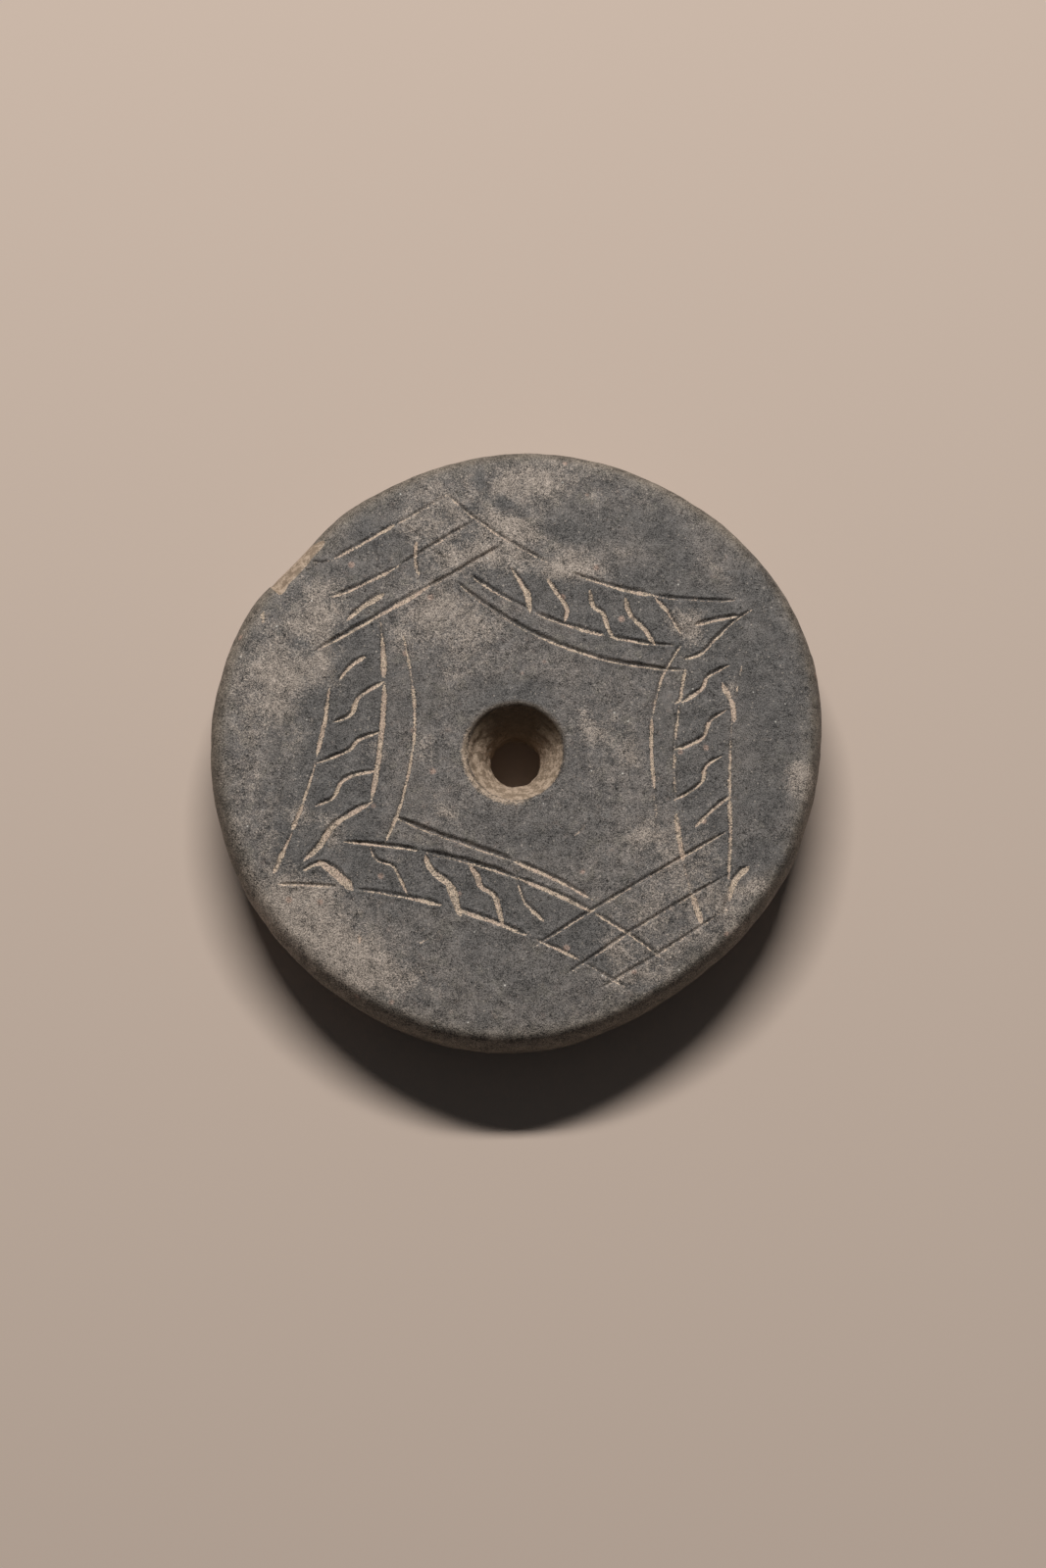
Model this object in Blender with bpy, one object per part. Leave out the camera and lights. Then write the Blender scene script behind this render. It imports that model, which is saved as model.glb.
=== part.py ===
"""Clay spindle whorl: a thick hand-formed disc with a drilled hole and an incised six-banded star.

The disc lies on its underside, +Z up. The origin is the centre of its outline, on the underside.
Run with blender --background --python part.py, or from the Text Editor.
"""

import math
from collections import namedtuple

import bmesh
import bpy
from mathutils import Vector

MM = 0.001

# The disc: a rounded foot below its widest level, a tighter shoulder above it, and two flat faces.
DISC_RADIUS = 35.15 * MM
THICKNESS = 12.0 * MM
SHOULDER_HEIGHT = 3.3 * MM
SHOULDER_WIDTH = 1.9 * MM
FOOT_WIDTH = 5.0 * MM

# How the hand-formed outline strays from a circle: waves round it, share of the radius, degrees of a crest.
OUTLINE_WAVES = (
    (1, 0.0046, 147.0),
    (2, 0.0195, 42.0),
    (3, 0.0070, 29.0),
    (4, 0.0048, -4.0),
    (5, 0.0011, -34.0),
    (6, 0.0038, 29.0),
    (7, 0.0015, 19.0),
)

# The old chip in the edge, which fades out towards the foot, and the flat scar that a flake left above it on
# the shoulder: it leans outwards, and runs on from its end round the edge, clockwise from above.
CHIP_DEPTH = 0.75 * MM
CHIP_LENGTH = 17.0 * MM
CHIP_DIRECTION = 139.0
SCAR_DIRECTION = 146.0
SCAR_LEAN = 32.0
SCAR_DISTANCE = 32.3 * MM  # from the disc's axis, at the top face
SCAR_LENGTH = 8.7 * MM
SCAR_END = 1.0 * MM

# The spindle's hole, drilled from both faces, a little off the outline's centre.
HOLE_X = -0.2 * MM
HOLE_Y = -1.3 * MM
THROAT_DIAMETER = 5.8 * MM
THROAT_LENGTH = 1.0 * MM
COUNTERSINK_DIAMETER = 11.9 * MM
UNDERSIDE_MOUTH_DIAMETER = 8.6 * MM
COUNTERSINK_SHARE = 0.52  # of the thickness that is left beside the throat
FLARE = 1.35  # above 1 the drilled walls open out towards the faces, as a bowl does

# The incised strokes, cut with a pointed tool: V-shaped, running out to nothing at both ends.
LINE_WIDTH = 0.75 * MM
LINE_DEPTH = 0.38 * MM
SLASH_WIDTH = 0.85 * MM
SLASH_DEPTH = 0.42 * MM
SOFT_KINK = 0.30 * MM
SHARP_KINK = 0.55 * MM
BLADE_CLEARANCE = 0.3 * MM

OUTLINE_POINTS = 96
HOLE_POINTS = 40
SHOULDER_RINGS = 4
FOOT_RINGS = 5
FUNNEL_RINGS = 3
LINE_STATIONS = 9
SLASH_STATIONS = 7

CLAY_COLOUR = (0.105, 0.100, 0.092, 1.0)
CLAY_ROUGHNESS = 0.55

# A line of the star, in shares of the disc's radius from its centre: two ends, and a bow towards the hole.
Line = namedtuple("Line", "start end bow")

# A slash across a band, in shares: it heads from a place on the outer line to a place on the middle line, and
# is cut from begin to finish of that way.
Slash = namedtuple("Slash", "outer middle begin finish", defaults=(0.0, 1.0))

# A band: its outer, middle and inner line, its slashes, and how far their S-shaped kink swings to each side.
Band = namedtuple("Band", "outer middle inner slashes kink")

BANDS = {
    "upper_right": Band(
        outer=Line((-0.23, 0.835), (0.73, 0.475), 0.105),
        middle=Line((-0.16, 0.565), (0.52, 0.325), 0.055),
        inner=Line((-0.20, 0.545), (0.555, 0.24), 0.075),
        slashes=(
            Slash(0.19, 0.32, 0.43, 1.04),
            Slash(0.35, 0.50, 0.31, 0.94),
            Slash(0.51, 0.72, 0.18, 1.03),
            Slash(0.62, 0.90, 0.18, 1.01),
            Slash(0.74, 1.08, 0.05, 0.60),
        ),
        kink=SOFT_KINK,
    ),
    "right": Band(
        outer=Line((0.735, 0.25), (0.69, -0.46), 0.017),
        middle=Line((0.57, 0.30), (0.595, -0.60), 0.07),
        inner=Line((0.54, 0.325), (0.455, -0.335), 0.06),
        slashes=(
            Slash(-0.06, 0.19, 0.21, 0.95),
            Slash(0.17, 0.36, 0.14),
            Slash(0.39, 0.55, 0.15),
            Slash(0.63, 0.71, 0.0, 0.64),
        ),
        kink=SOFT_KINK,
    ),
    "lower_right": Band(
        outer=Line((0.265, -0.825), (0.65, -0.58), 0.0),
        middle=Line((0.155, -0.78), (0.68, -0.45), 0.008),
        inner=Line((0.04, -0.695), (0.69, -0.30), 0.006),
        slashes=(),
        kink=0.0,
    ),
    "bottom": Band(
        outer=Line((-0.775, -0.475), (0.34, -0.815), 0.085),
        middle=Line((-0.565, -0.335), (0.485, -0.73), 0.085),
        inner=Line((-0.40, -0.255), (0.26, -0.54), 0.018),
        slashes=(
            Slash(0.37, 0.07),
            Slash(0.52, 0.24),
            Slash(0.645, 0.36),
            Slash(0.76, 0.50, 0.30, 0.95),
        ),
        kink=SOFT_KINK,
    ),
    "left": Band(
        outer=Line((-0.61, 0.27), (-0.79, -0.435), 0.035),
        middle=Line((-0.45, 0.40), (-0.475, -0.205), 0.024),
        inner=Line((-0.375, 0.355), (-0.43, -0.345), 0.065),
        slashes=(
            Slash(0.11, 0.11, 0.13, 0.67),
            Slash(0.31, 0.34, 0.16),
            Slash(0.48, 0.61, 0.04),
            Slash(0.73, 0.82, 0.15),
            Slash(1.14, 1.01, 0.41),
        ),
        kink=SHARP_KINK,
    ),
    "upper_left": Band(
        outer=Line((-0.61, 0.615), (-0.245, 0.83), 0.0),
        middle=Line((-0.605, 0.49), (-0.155, 0.74), 0.012),
        inner=Line((-0.66, 0.305), (-0.055, 0.66), 0.0),
        slashes=(),
        kink=0.0,
    ),
}

# Strokes at the star's corners and inside its upper left band, which follow no line of it.
LOOSE_STROKES = (
    Line((0.60, 0.41), (0.74, 0.425), 0.0),
    Line((0.715, 0.41), (0.545, 0.275), 0.0),
    Line((0.755, -0.42), (0.67, -0.54), 0.01),
    Line((-0.685, -0.43), (-0.535, -0.475), 0.02),
    Line((-0.475, 0.685), (-0.46, 0.595), 0.0),
    Line((-0.335, 0.65), (-0.33, 0.57), 0.0),
    Line((-0.56, 0.405), (-0.44, 0.50), -0.015),
)


def outline_radius(angle):
    """The widest level's radius in one direction: the mean radius with the waves of the hand-formed outline."""
    waves = sum(
        share * math.cos(count * (angle - math.radians(crest)))
        for count, share, crest in OUTLINE_WAVES
    )
    return DISC_RADIUS * (1 + waves)


def chip_inset(angle):
    """How far the chip takes the edge in: a smooth dip, deepest in the chip's direction."""
    turned = math.remainder(angle - math.radians(CHIP_DIRECTION), math.tau)
    along = abs(turned) * DISC_RADIUS / (CHIP_LENGTH / 2)
    return CHIP_DEPTH * math.cos(min(along, 1.0) * math.pi / 2) ** 2


def side_profile():
    """Steps up the disc's side, from the underside's edge to the top face's: the inset from the outline, the
    height, and the share of the chip there. Two quarter ellipses meet at the widest level."""
    widest = THICKNESS - SHOULDER_HEIGHT
    steps = []
    for i in range(FOOT_RINGS + 1):
        turn = i / FOOT_RINGS * math.pi / 2
        height = widest * (1 - math.cos(turn))
        steps.append((FOOT_WIDTH * (1 - math.sin(turn)), height, height / widest))
    for i in range(1, SHOULDER_RINGS + 1):
        turn = i / SHOULDER_RINGS * math.pi / 2
        steps.append(
            (SHOULDER_WIDTH * (1 - math.cos(turn)), widest + SHOULDER_HEIGHT * math.sin(turn), 1.0)
        )
    return steps


def disc_rings():
    rings = []
    for inset, height, chipped in side_profile():
        ring = []
        for i in range(OUTLINE_POINTS):
            angle = i / OUTLINE_POINTS * math.tau
            radius = outline_radius(angle) - chipped * chip_inset(angle) - inset
            ring.append(Vector((radius * math.cos(angle), radius * math.sin(angle), height)))
        rings.append(ring)
    return rings


def scar_rings():
    """A block that lies on the scar, as two rings of corners: on the scar itself, and out in the air."""
    turn = math.radians(SCAR_DIRECTION)
    lean = math.radians(SCAR_LEAN)
    outwards = Vector((math.cos(turn), math.sin(turn), 0.0))
    along = Vector((-math.sin(turn), math.cos(turn), 0.0))
    up = Vector((0.0, 0.0, 1.0))
    normal = outwards * math.cos(lean) + up * math.sin(lean)
    fall = outwards * math.sin(lean) - up * math.cos(lean)
    head = outwards * SCAR_DISTANCE + up * THICKNESS - fall * THICKNESS / 4
    foot = head + fall * THICKNESS
    scar = [
        head + along * SCAR_END,
        head + along * (SCAR_END - SCAR_LENGTH),
        foot + along * (SCAR_END - SCAR_LENGTH),
        foot + along * SCAR_END,
    ]
    return [scar, [corner + normal * THICKNESS for corner in scar]]


def hole_profile():
    """Radii and heights up the hole: a funnel at the underside, the throat and the countersink. The end steps
    run on past both faces."""
    drilled = THICKNESS - THROAT_LENGTH
    throat_top = THICKNESS - drilled * COUNTERSINK_SHARE
    throat_bottom = throat_top - THROAT_LENGTH
    throat = THROAT_DIAMETER / 2

    def funnel(mouth, throat_level, face_level):
        for i in range(FUNNEL_RINGS + 1):
            share = i / FUNNEL_RINGS
            yield throat + (mouth - throat) * share**FLARE, throat_level + (face_level - throat_level) * share

    below = list(funnel(UNDERSIDE_MOUTH_DIAMETER / 2, throat_bottom, 0.0))[::-1]
    above = list(funnel(COUNTERSINK_DIAMETER / 2, throat_top, THICKNESS))
    first = (below[0][0], -BLADE_CLEARANCE)
    last = (above[-1][0], THICKNESS + BLADE_CLEARANCE)
    return [first, *below, *above, last]


def hole_rings():
    return [
        [
            Vector(
                (
                    HOLE_X + radius * math.cos(i / HOLE_POINTS * math.tau),
                    HOLE_Y + radius * math.sin(i / HOLE_POINTS * math.tau),
                    height,
                )
            )
            for i in range(HOLE_POINTS)
        ]
        for radius, height in hole_profile()
    ]


def line_point(line, share):
    """A point of a line on the plan: along its chord, and bowed towards the hole as a parabola is."""
    start = Vector(line.start) * DISC_RADIUS
    end = Vector(line.end) * DISC_RADIUS
    across = (end - start).orthogonal().normalized()
    if across.dot(Vector((HOLE_X, HOLE_Y)) - (start + end) / 2) < 0:
        across.negate()
    bow = 4 * line.bow * DISC_RADIUS * share * (1 - share)
    return start + (end - start) * share + across * bow


def line_path(line):
    return [line_point(line, i / (LINE_STATIONS - 1)) for i in range(LINE_STATIONS)]


def slash_path(band, slash):
    """A slash across a band: straight but for one S-shaped kink, where the tool was turned half-way."""
    start = line_point(band.outer, slash.outer)
    end = line_point(band.middle, slash.middle)
    first = start.lerp(end, slash.begin)
    last = start.lerp(end, slash.finish)
    across = (last - first).orthogonal().normalized()
    path = []
    for i in range(SLASH_STATIONS):
        share = i / (SLASH_STATIONS - 1)
        path.append(first.lerp(last, share) - across * band.kink * math.sin(math.tau * share))
    return path


def blade_rings(path, width, depth):
    """Sections of the blade that cuts a stroke: a V whose keel lies at the stroke's depth under the top face,
    and out of the clay at both ends of the path."""
    half_top = width / 2 * (depth + BLADE_CLEARANCE) / depth
    rings = []
    for i, point in enumerate(path):
        before = path[max(i - 1, 0)]
        after = path[min(i + 1, len(path) - 1)]
        across = (after - before).orthogonal().normalized() * half_top
        lift = depth + BLADE_CLEARANCE / 2 if i in (0, len(path) - 1) else 0.0
        top = THICKNESS + BLADE_CLEARANCE + lift
        keel = THICKNESS - depth + lift
        left = point + across
        right = point - across
        rings.append(
            [Vector((*point, keel)), Vector((*left, top)), Vector((*right, top))]
        )
    return rings


def lofted_object(name, rings):
    """An object skinned over rings of points, with a face over each end."""
    bm = bmesh.new()
    loops = [[bm.verts.new(point) for point in ring] for ring in rings]
    count = len(rings[0])
    for lower, upper in zip(loops, loops[1:]):
        for i in range(count):
            after = (i + 1) % count
            bm.faces.new((lower[i], lower[after], upper[after], upper[i]))
    bm.faces.new(loops[0][::-1])
    bm.faces.new(loops[-1])
    bmesh.ops.recalc_face_normals(bm, faces=bm.faces)
    mesh = bpy.data.meshes.new(name)
    bm.to_mesh(mesh)
    bm.free()
    obj = bpy.data.objects.new(name, mesh)
    bpy.context.scene.collection.objects.link(obj)
    return obj


def as_cutter(obj, collection):
    """Moves an object among the cutters, which are drawn as wires and never rendered."""
    bpy.context.scene.collection.objects.unlink(obj)
    collection.objects.link(obj)
    obj.hide_render = True
    obj.display_type = "WIRE"


def star_blades():
    """A blade for each line, slash and loose stroke of the star, by name."""
    blades = {}
    for name, band in BANDS.items():
        for part, line in (("outer", band.outer), ("middle", band.middle), ("inner", band.inner)):
            blades[f"blade_{name}_{part}"] = blade_rings(line_path(line), LINE_WIDTH, LINE_DEPTH)
        for i, slash in enumerate(band.slashes, 1):
            blades[f"blade_{name}_slash_{i}"] = blade_rings(slash_path(band, slash), SLASH_WIDTH, SLASH_DEPTH)
    for i, line in enumerate(LOOSE_STROKES, 1):
        blades[f"blade_loose_{i}"] = blade_rings(line_path(line), SLASH_WIDTH, SLASH_DEPTH)
    return blades


def clay_material():
    material = bpy.data.materials.new("fired_clay")
    material.use_nodes = True
    shader = material.node_tree.nodes["Principled BSDF"]
    shader.inputs["Base Color"].default_value = CLAY_COLOUR
    shader.inputs["Roughness"].default_value = CLAY_ROUGHNESS
    shader.inputs["Metallic"].default_value = 0.0
    return material


def build():
    for obj in list(bpy.data.objects):
        bpy.data.objects.remove(obj)

    whorl = lofted_object("whorl", disc_rings())
    whorl.data.materials.append(clay_material())

    cutters = bpy.data.collections.new("cutters")
    bpy.context.scene.collection.children.link(cutters)
    as_cutter(lofted_object("hole_cutter", hole_rings()), cutters)
    as_cutter(lofted_object("scar_cutter", scar_rings()), cutters)
    for name, rings in star_blades().items():
        as_cutter(lofted_object(name, rings), cutters)

    cut = whorl.modifiers.new("cut", "BOOLEAN")
    cut.operation = "DIFFERENCE"
    cut.operand_type = "COLLECTION"
    cut.collection = cutters

    whorl.data.shade_smooth()
    whorl.data.set_sharp_from_angle(angle=math.radians(35))


build()
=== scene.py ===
"""A clay spindle whorl: a thick disc with a drilled hole, incised with a six-banded star before it was fired.

Metres, +Z up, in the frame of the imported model: the disc lies on its underside, centred on its outline.
"""

from collections import namedtuple

import bpy
import numpy as np
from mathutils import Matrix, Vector


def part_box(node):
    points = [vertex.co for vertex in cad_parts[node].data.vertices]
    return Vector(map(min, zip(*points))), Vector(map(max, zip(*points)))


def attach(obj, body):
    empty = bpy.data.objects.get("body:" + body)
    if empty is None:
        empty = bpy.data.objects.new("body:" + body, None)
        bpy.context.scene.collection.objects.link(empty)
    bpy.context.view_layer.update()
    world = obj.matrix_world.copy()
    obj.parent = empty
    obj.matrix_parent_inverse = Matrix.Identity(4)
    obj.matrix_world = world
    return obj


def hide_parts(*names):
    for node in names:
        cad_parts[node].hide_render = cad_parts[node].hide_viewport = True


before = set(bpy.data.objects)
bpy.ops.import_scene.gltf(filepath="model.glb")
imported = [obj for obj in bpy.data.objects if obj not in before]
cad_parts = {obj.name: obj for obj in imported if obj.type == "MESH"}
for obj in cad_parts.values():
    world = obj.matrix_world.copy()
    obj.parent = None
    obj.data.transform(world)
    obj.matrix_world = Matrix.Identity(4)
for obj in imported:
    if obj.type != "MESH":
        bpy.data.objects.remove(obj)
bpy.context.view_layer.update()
MM = 0.001


# The view and the light. The camera looks down on the incised face, tilted a little towards its lower edge,
# through a long lens. A wide, low strip of light stands beyond the top of the picture: its shadow is crisp
# below the disc and soft to the left and right of it. The floor is plain and pale.
LOOK_AT = Vector((0.67, -5.08, 12.0)) * MM
VIEW_DISTANCE = 619 * MM
VIEW_BEARING = -90.0
VIEW_ELEVATION = 77.0
LENS_MM = 123.75
SENSOR_MM = 36.0

LAMP_ELEVATION = 52.0
LAMP_BEARING = 92.0
LAMP_DISTANCE = 0.9
LAMP_WIDTH = 0.54
LAMP_HEIGHT = 0.06
LAMP_WATTS = 8.9
LAMP_COLOUR = (1.0, 0.975, 0.94)
SURROUND_COLOUR = (0.93, 0.96, 1.0, 1.0)
SURROUND_STRENGTH = 0.045

FLOOR_SIZE = 4.0
FLOOR_COLOUR = (0.58, 0.475, 0.405, 1.0)
FLOOR_ROUGHNESS = 0.9
FLOOR_SHEEN = 0.1


def placed_looking(name, data, bearing, elevation, distance):
    """An object that looks at LOOK_AT from a bearing (90 is +Y), an elevation and a distance."""
    turn, rise = np.radians((bearing, elevation))
    away = Vector((np.cos(turn) * np.cos(rise), np.sin(turn) * np.cos(rise), np.sin(rise)))
    obj = bpy.data.objects.new(name, data)
    obj.location = LOOK_AT + away * distance
    obj.rotation_euler = away.to_track_quat("Z", "Y").to_euler()
    bpy.context.scene.collection.objects.link(obj)
    return obj


camera_data = bpy.data.cameras.new("camera")
camera = placed_looking("camera", camera_data, VIEW_BEARING, VIEW_ELEVATION, VIEW_DISTANCE)
camera.data.lens = LENS_MM
camera.data.sensor_width = SENSOR_MM
camera.data.clip_start = VIEW_DISTANCE / 10
bpy.context.scene.camera = camera
bpy.context.scene.view_settings.view_transform = "Standard"

lamp_data = bpy.data.lights.new("lamp", "AREA")
lamp = placed_looking("lamp", lamp_data, LAMP_BEARING, LAMP_ELEVATION, LAMP_DISTANCE)
lamp.data.shape = "RECTANGLE"
lamp.data.size = LAMP_WIDTH
lamp.data.size_y = LAMP_HEIGHT
lamp.data.energy = LAMP_WATTS
lamp.data.color = LAMP_COLOUR

surround = bpy.data.worlds.new("surround")
surround.use_nodes = True
surround.node_tree.nodes["Background"].inputs["Color"].default_value = SURROUND_COLOUR
surround.node_tree.nodes["Background"].inputs["Strength"].default_value = SURROUND_STRENGTH
bpy.context.scene.world = surround

floor_mesh = bpy.data.meshes.new("floor")
floor_corners = np.array([(-1, -1, 0), (1, -1, 0), (1, 1, 0), (-1, 1, 0)]) * FLOOR_SIZE / 2
floor_mesh.from_pydata(floor_corners.tolist(), [], [(0, 1, 2, 3)])
floor = bpy.data.objects.new("floor", floor_mesh)
bpy.context.scene.collection.objects.link(floor)
floor_paint = bpy.data.materials.new("floor_paint")
floor_paint.use_nodes = True
floor_shader = floor_paint.node_tree.nodes["Principled BSDF"]
floor_shader.inputs["Base Color"].default_value = FLOOR_COLOUR
floor_shader.inputs["Roughness"].default_value = FLOOR_ROUGHNESS
floor_shader.inputs["Specular IOR Level"].default_value = FLOOR_SHEEN
floor_mesh.materials.append(floor_paint)


# The disc: one piece of fired clay, shaped by hand. Its side is a rounded foot below the widest level and a
# tighter shoulder above it, its outline wanders, and a flake is gone from the edge at the upper left.

# A wave of the outline has a count round the disc, a height as a share of the radius, and the direction of a
# crest in degrees.
OUTLINE_WAVES = (
    (1, 0.0046, 147.0),
    (2, 0.0195, 42.0),
    (3, 0.0070, 29.0),
    (4, 0.0048, -4.0),
    (5, 0.0011, -34.0),
    (6, 0.0038, 29.0),
    (7, 0.0015, 19.0),
)
SHOULDER_WIDTH = 1.9 * MM
SHOULDER_SHARE = 0.275
FOOT_WIDTH = 5.0 * MM
CHIP_DEPTH = 0.75 * MM
CHIP_LENGTH = 17.0 * MM
CHIP_DIRECTION = 139.0
SCAR_DIRECTION = 146.0
SCAR_LEAN = 32.0
SCAR_DISTANCE = 32.3 * MM
SCAR_LENGTH = 8.7 * MM
SCAR_END = 1.0 * MM
SCAR_NARROWING = 0.42
SCAR_FRAY = 0.30
SCAR_FRAY_SIZE = 1.7 * MM
RAW_BEYOND_SHARE = 0.095
RAW_FRAY_SHARE = 0.5
CROWN_WIDTH = 9.0 * MM
CROWN_DROP = 0.35 * MM
CROWN_DIRECTION = 215.0
CROWN_LEAN = 0.6
TIGHT_DIRECTION = 318.0
TIGHT_SHARE = 0.30


def outline_share(angle):
    """The outline's radius as a share of the mean: one plus a cosine wave for each row of OUTLINE_WAVES."""
    waves = [share * np.cos(count * (angle - np.radians(crest))) for count, share, crest in OUTLINE_WAVES]
    return 1 + np.sum(waves, axis=0)


whorl_low, whorl_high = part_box("whorl")
full_turn = np.linspace(0, 2 * np.pi, 720)
THICKNESS = whorl_high.z
RADIUS = (whorl_high.x - whorl_low.x) / np.ptp(outline_share(full_turn) * np.cos(full_turn))
WIDEST_LEVEL = THICKNESS * (1 - SHOULDER_SHARE)


def edge_radius(angle, height):
    """The side's radius at an angle and a height: the outline, less a quarter ellipse of inset towards each
    face, narrower at the shoulder's tight side, and less the chip, a squared cosine along the edge."""
    rise = np.clip((height - WIDEST_LEVEL) / (THICKNESS - WIDEST_LEVEL), 0, 1)
    drop = np.clip((WIDEST_LEVEL - height) / WIDEST_LEVEL, 0, 1)
    shoulder = SHOULDER_WIDTH * (1 - TIGHT_SHARE * np.clip(np.cos(angle - np.radians(TIGHT_DIRECTION)), 0, 1))
    inset = shoulder * (1 - np.sqrt(1 - rise**2)) + FOOT_WIDTH * (1 - np.sqrt(1 - drop**2))
    turned = (angle - np.radians(CHIP_DIRECTION) + np.pi) % (2 * np.pi) - np.pi
    along = np.clip(np.abs(turned) * RADIUS / (CHIP_LENGTH / 2), 0, 1)
    return RADIUS * outline_share(angle) - inset - CHIP_DEPTH * np.cos(along * np.pi / 2) ** 2 * (1 - drop)


def crowned(points):
    """The points with the face's crown: near the edge they sink by the square of the way across it, more so
    on the side that CROWN_DIRECTION faces, and less and less down the side."""
    angle = np.arctan2(points[:, 1], points[:, 0])
    inwards = edge_radius(angle, WIDEST_LEVEL) - np.hypot(points[:, 0], points[:, 1])
    across = np.clip(1 - inwards / CROWN_WIDTH, 0, 1)
    share = 1 + CROWN_LEAN * np.cos(angle - np.radians(CROWN_DIRECTION))
    sunk = CROWN_DROP * share * across**2 * np.clip(points[:, 2] / WIDEST_LEVEL, 0, 1)
    return points - sunk[:, None] * (0, 0, 1)


# The hand's unevenness is made of hills. A hill row gives their height and their size in millimetres, and the
# seed of their random heights, which are picked from HILL_COUNT by mixing a lattice corner with CORNER_KEYS.
HILL_COUNT = 4093
CORNER_KEYS = (73856093, 19349663, 83492791)
Hill = namedtuple("Hill", "height size seed")

SCAR_HILLS = (Hill(0.16, 2.6, 61), Hill(0.09, 1.0, 62))
FACE_HILLS = (Hill(0.08, 9.0, 1), Hill(0.040, 3.2, 2), Hill(0.022, 1.3, 3))
SIDE_HILLS = (Hill(0.10, 4.5, 11), Hill(0.05, 1.7, 12), Hill(0.03, 0.8, 13))
PIT_DEPTH = 0.06 * MM
PIT_SIZE = 1.6 * MM
PIT_LEVEL = 0.62
FACE_LOWERED = 0.05 * MM


def hills(points, size, seed):
    """Smooth random hills from -1 to 1: a random height at each corner of a cubic lattice of that size, and
    between the corners a blend by the smooth step 3t^2 - 2t^3 along each axis."""
    heights = np.random.default_rng(seed).uniform(-1, 1, HILL_COUNT)
    corner = np.floor(points / size).astype(np.int64)
    step = points / size - corner
    step = step * step * (3 - 2 * step)
    total = np.zeros(len(points))
    for offset in np.ndindex(2, 2, 2):
        share = np.prod(np.where(offset, step, 1 - step), axis=1)
        key = (corner + offset) * CORNER_KEYS
        total += share * heights[np.bitwise_xor.reduce(key, axis=1) % HILL_COUNT]
    return total


def rolling(points, rows):
    """The sum of several sizes of hills, one for each row, each times its own height."""
    return sum(row.height * MM * hills(points, row.size * MM, row.seed) for row in rows)


def unevenness(points):
    """How the hand-smoothed faces rise and fall: hills of three sizes, and shallow pits where a fourth lot of
    hills passes a level, all of it lowered a little."""
    pits = np.clip(hills(points, PIT_SIZE, 4) - PIT_LEVEL, 0, 1) / (1 - PIT_LEVEL)
    return rolling(points, FACE_HILLS) - PIT_DEPTH * pits - FACE_LOWERED


def scarred(points):
    """The points with the lost flake taken off, and how far inside the raw clay each one is: what lies beyond
    a leaning plane, roughened by hills, is pressed back onto it, less and less towards the scar's ends, which
    close in and fray down the side. The raw clay goes a little beyond the scar, by a share of the way from
    its end."""
    turn, lean = np.radians((SCAR_DIRECTION, SCAR_LEAN))
    outwards = np.array((np.cos(turn), np.sin(turn), 0.0))
    along = np.array((-np.sin(turn), np.cos(turn), 0.0))
    up = np.array((0.0, 0.0, 1.0))
    normal = outwards * np.cos(lean) + up * np.sin(lean)
    away = points - outwards * SCAR_DISTANCE - up * THICKNESS
    to_end = SCAR_END - away @ along
    to_start = SCAR_LENGTH - to_end
    beyond = away @ normal - rolling(points, SCAR_HILLS)
    down = np.clip(THICKNESS - points[:, 2], 0, None)
    frayed = SCAR_FRAY * down * hills(points, SCAR_FRAY_SIZE, 63)
    ends = np.minimum(2.0 * to_end, 0.8 * to_start) - SCAR_NARROWING * down + frayed
    inside = np.maximum(np.minimum(beyond, ends), 0)
    raw = np.minimum(beyond + RAW_BEYOND_SHARE * to_end + RAW_FRAY_SHARE * frayed, ends)
    return points - inside[:, None] * normal, raw


# The star: six bands of three cut lines each, and kinked slashes across four of them, cut with a pointed tool
# while the clay was leather-hard. Pale sediment from the ground still fills some of the cuts. Places are in
# shares of the disc's radius from its centre, and widths and depths in millimetres.
Line = namedtuple("Line", "start end bow lean", defaults=(0.0,))

# A reach is the part of a line that one pull of the tool made, from one share of it to another. Widths and
# fills are given at its two ends.
Reach = namedtuple("Reach", "line begin finish widths depth fills")

# A stroke is a free pull of the tool through a few places.
Stroke = namedtuple("Stroke", "places widths depth fills")

UPPER_RIGHT_OUTER = Line((-0.228, 0.835), (0.732, 0.477), 0.106)
UPPER_RIGHT_MIDDLE = Line((-0.160, 0.567), (0.522, 0.324), 0.055)
UPPER_RIGHT_INNER = Line((-0.202, 0.543), (0.553, 0.241), 0.075)
RIGHT_OUTER = Line((0.736, 0.251), (0.688, -0.461), 0.017, -1.1)
RIGHT_MIDDLE = Line((0.570, 0.301), (0.595, -0.600), 0.069)
RIGHT_INNER = Line((0.538, 0.324), (0.457, -0.334), 0.059, -0.67)
LOWER_RIGHT_OUTER = Line((0.265, -0.825), (0.650, -0.580), -0.006)
LOWER_RIGHT_MIDDLE = Line((0.155, -0.780), (0.680, -0.450), 0.008)
LOWER_RIGHT_INNER = Line((0.040, -0.695), (0.690, -0.300), 0.006)
BOTTOM_OUTER = Line((-0.777, -0.477), (0.340, -0.813), 0.085)
BOTTOM_MIDDLE = Line((-0.565, -0.337), (0.483, -0.730), 0.086)
BOTTOM_INNER = Line((-0.400, -0.255), (0.262, -0.542), 0.018, 1.0)
LEFT_OUTER = Line((-0.608, 0.268), (-0.791, -0.435), 0.035)
LEFT_MIDDLE = Line((-0.449, 0.400), (-0.477, -0.203), 0.024)
LEFT_INNER = Line((-0.375, 0.354), (-0.432, -0.343), 0.065)
UPPER_LEFT_OUTER = Line((-0.611, 0.617), (-0.244, 0.831), 0.002)
UPPER_LEFT_MIDDLE = Line((-0.607, 0.490), (-0.154, 0.741), 0.012, -0.8)
UPPER_LEFT_INNER = Line((-0.660, 0.307), (-0.057, 0.660), 0.0)

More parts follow.
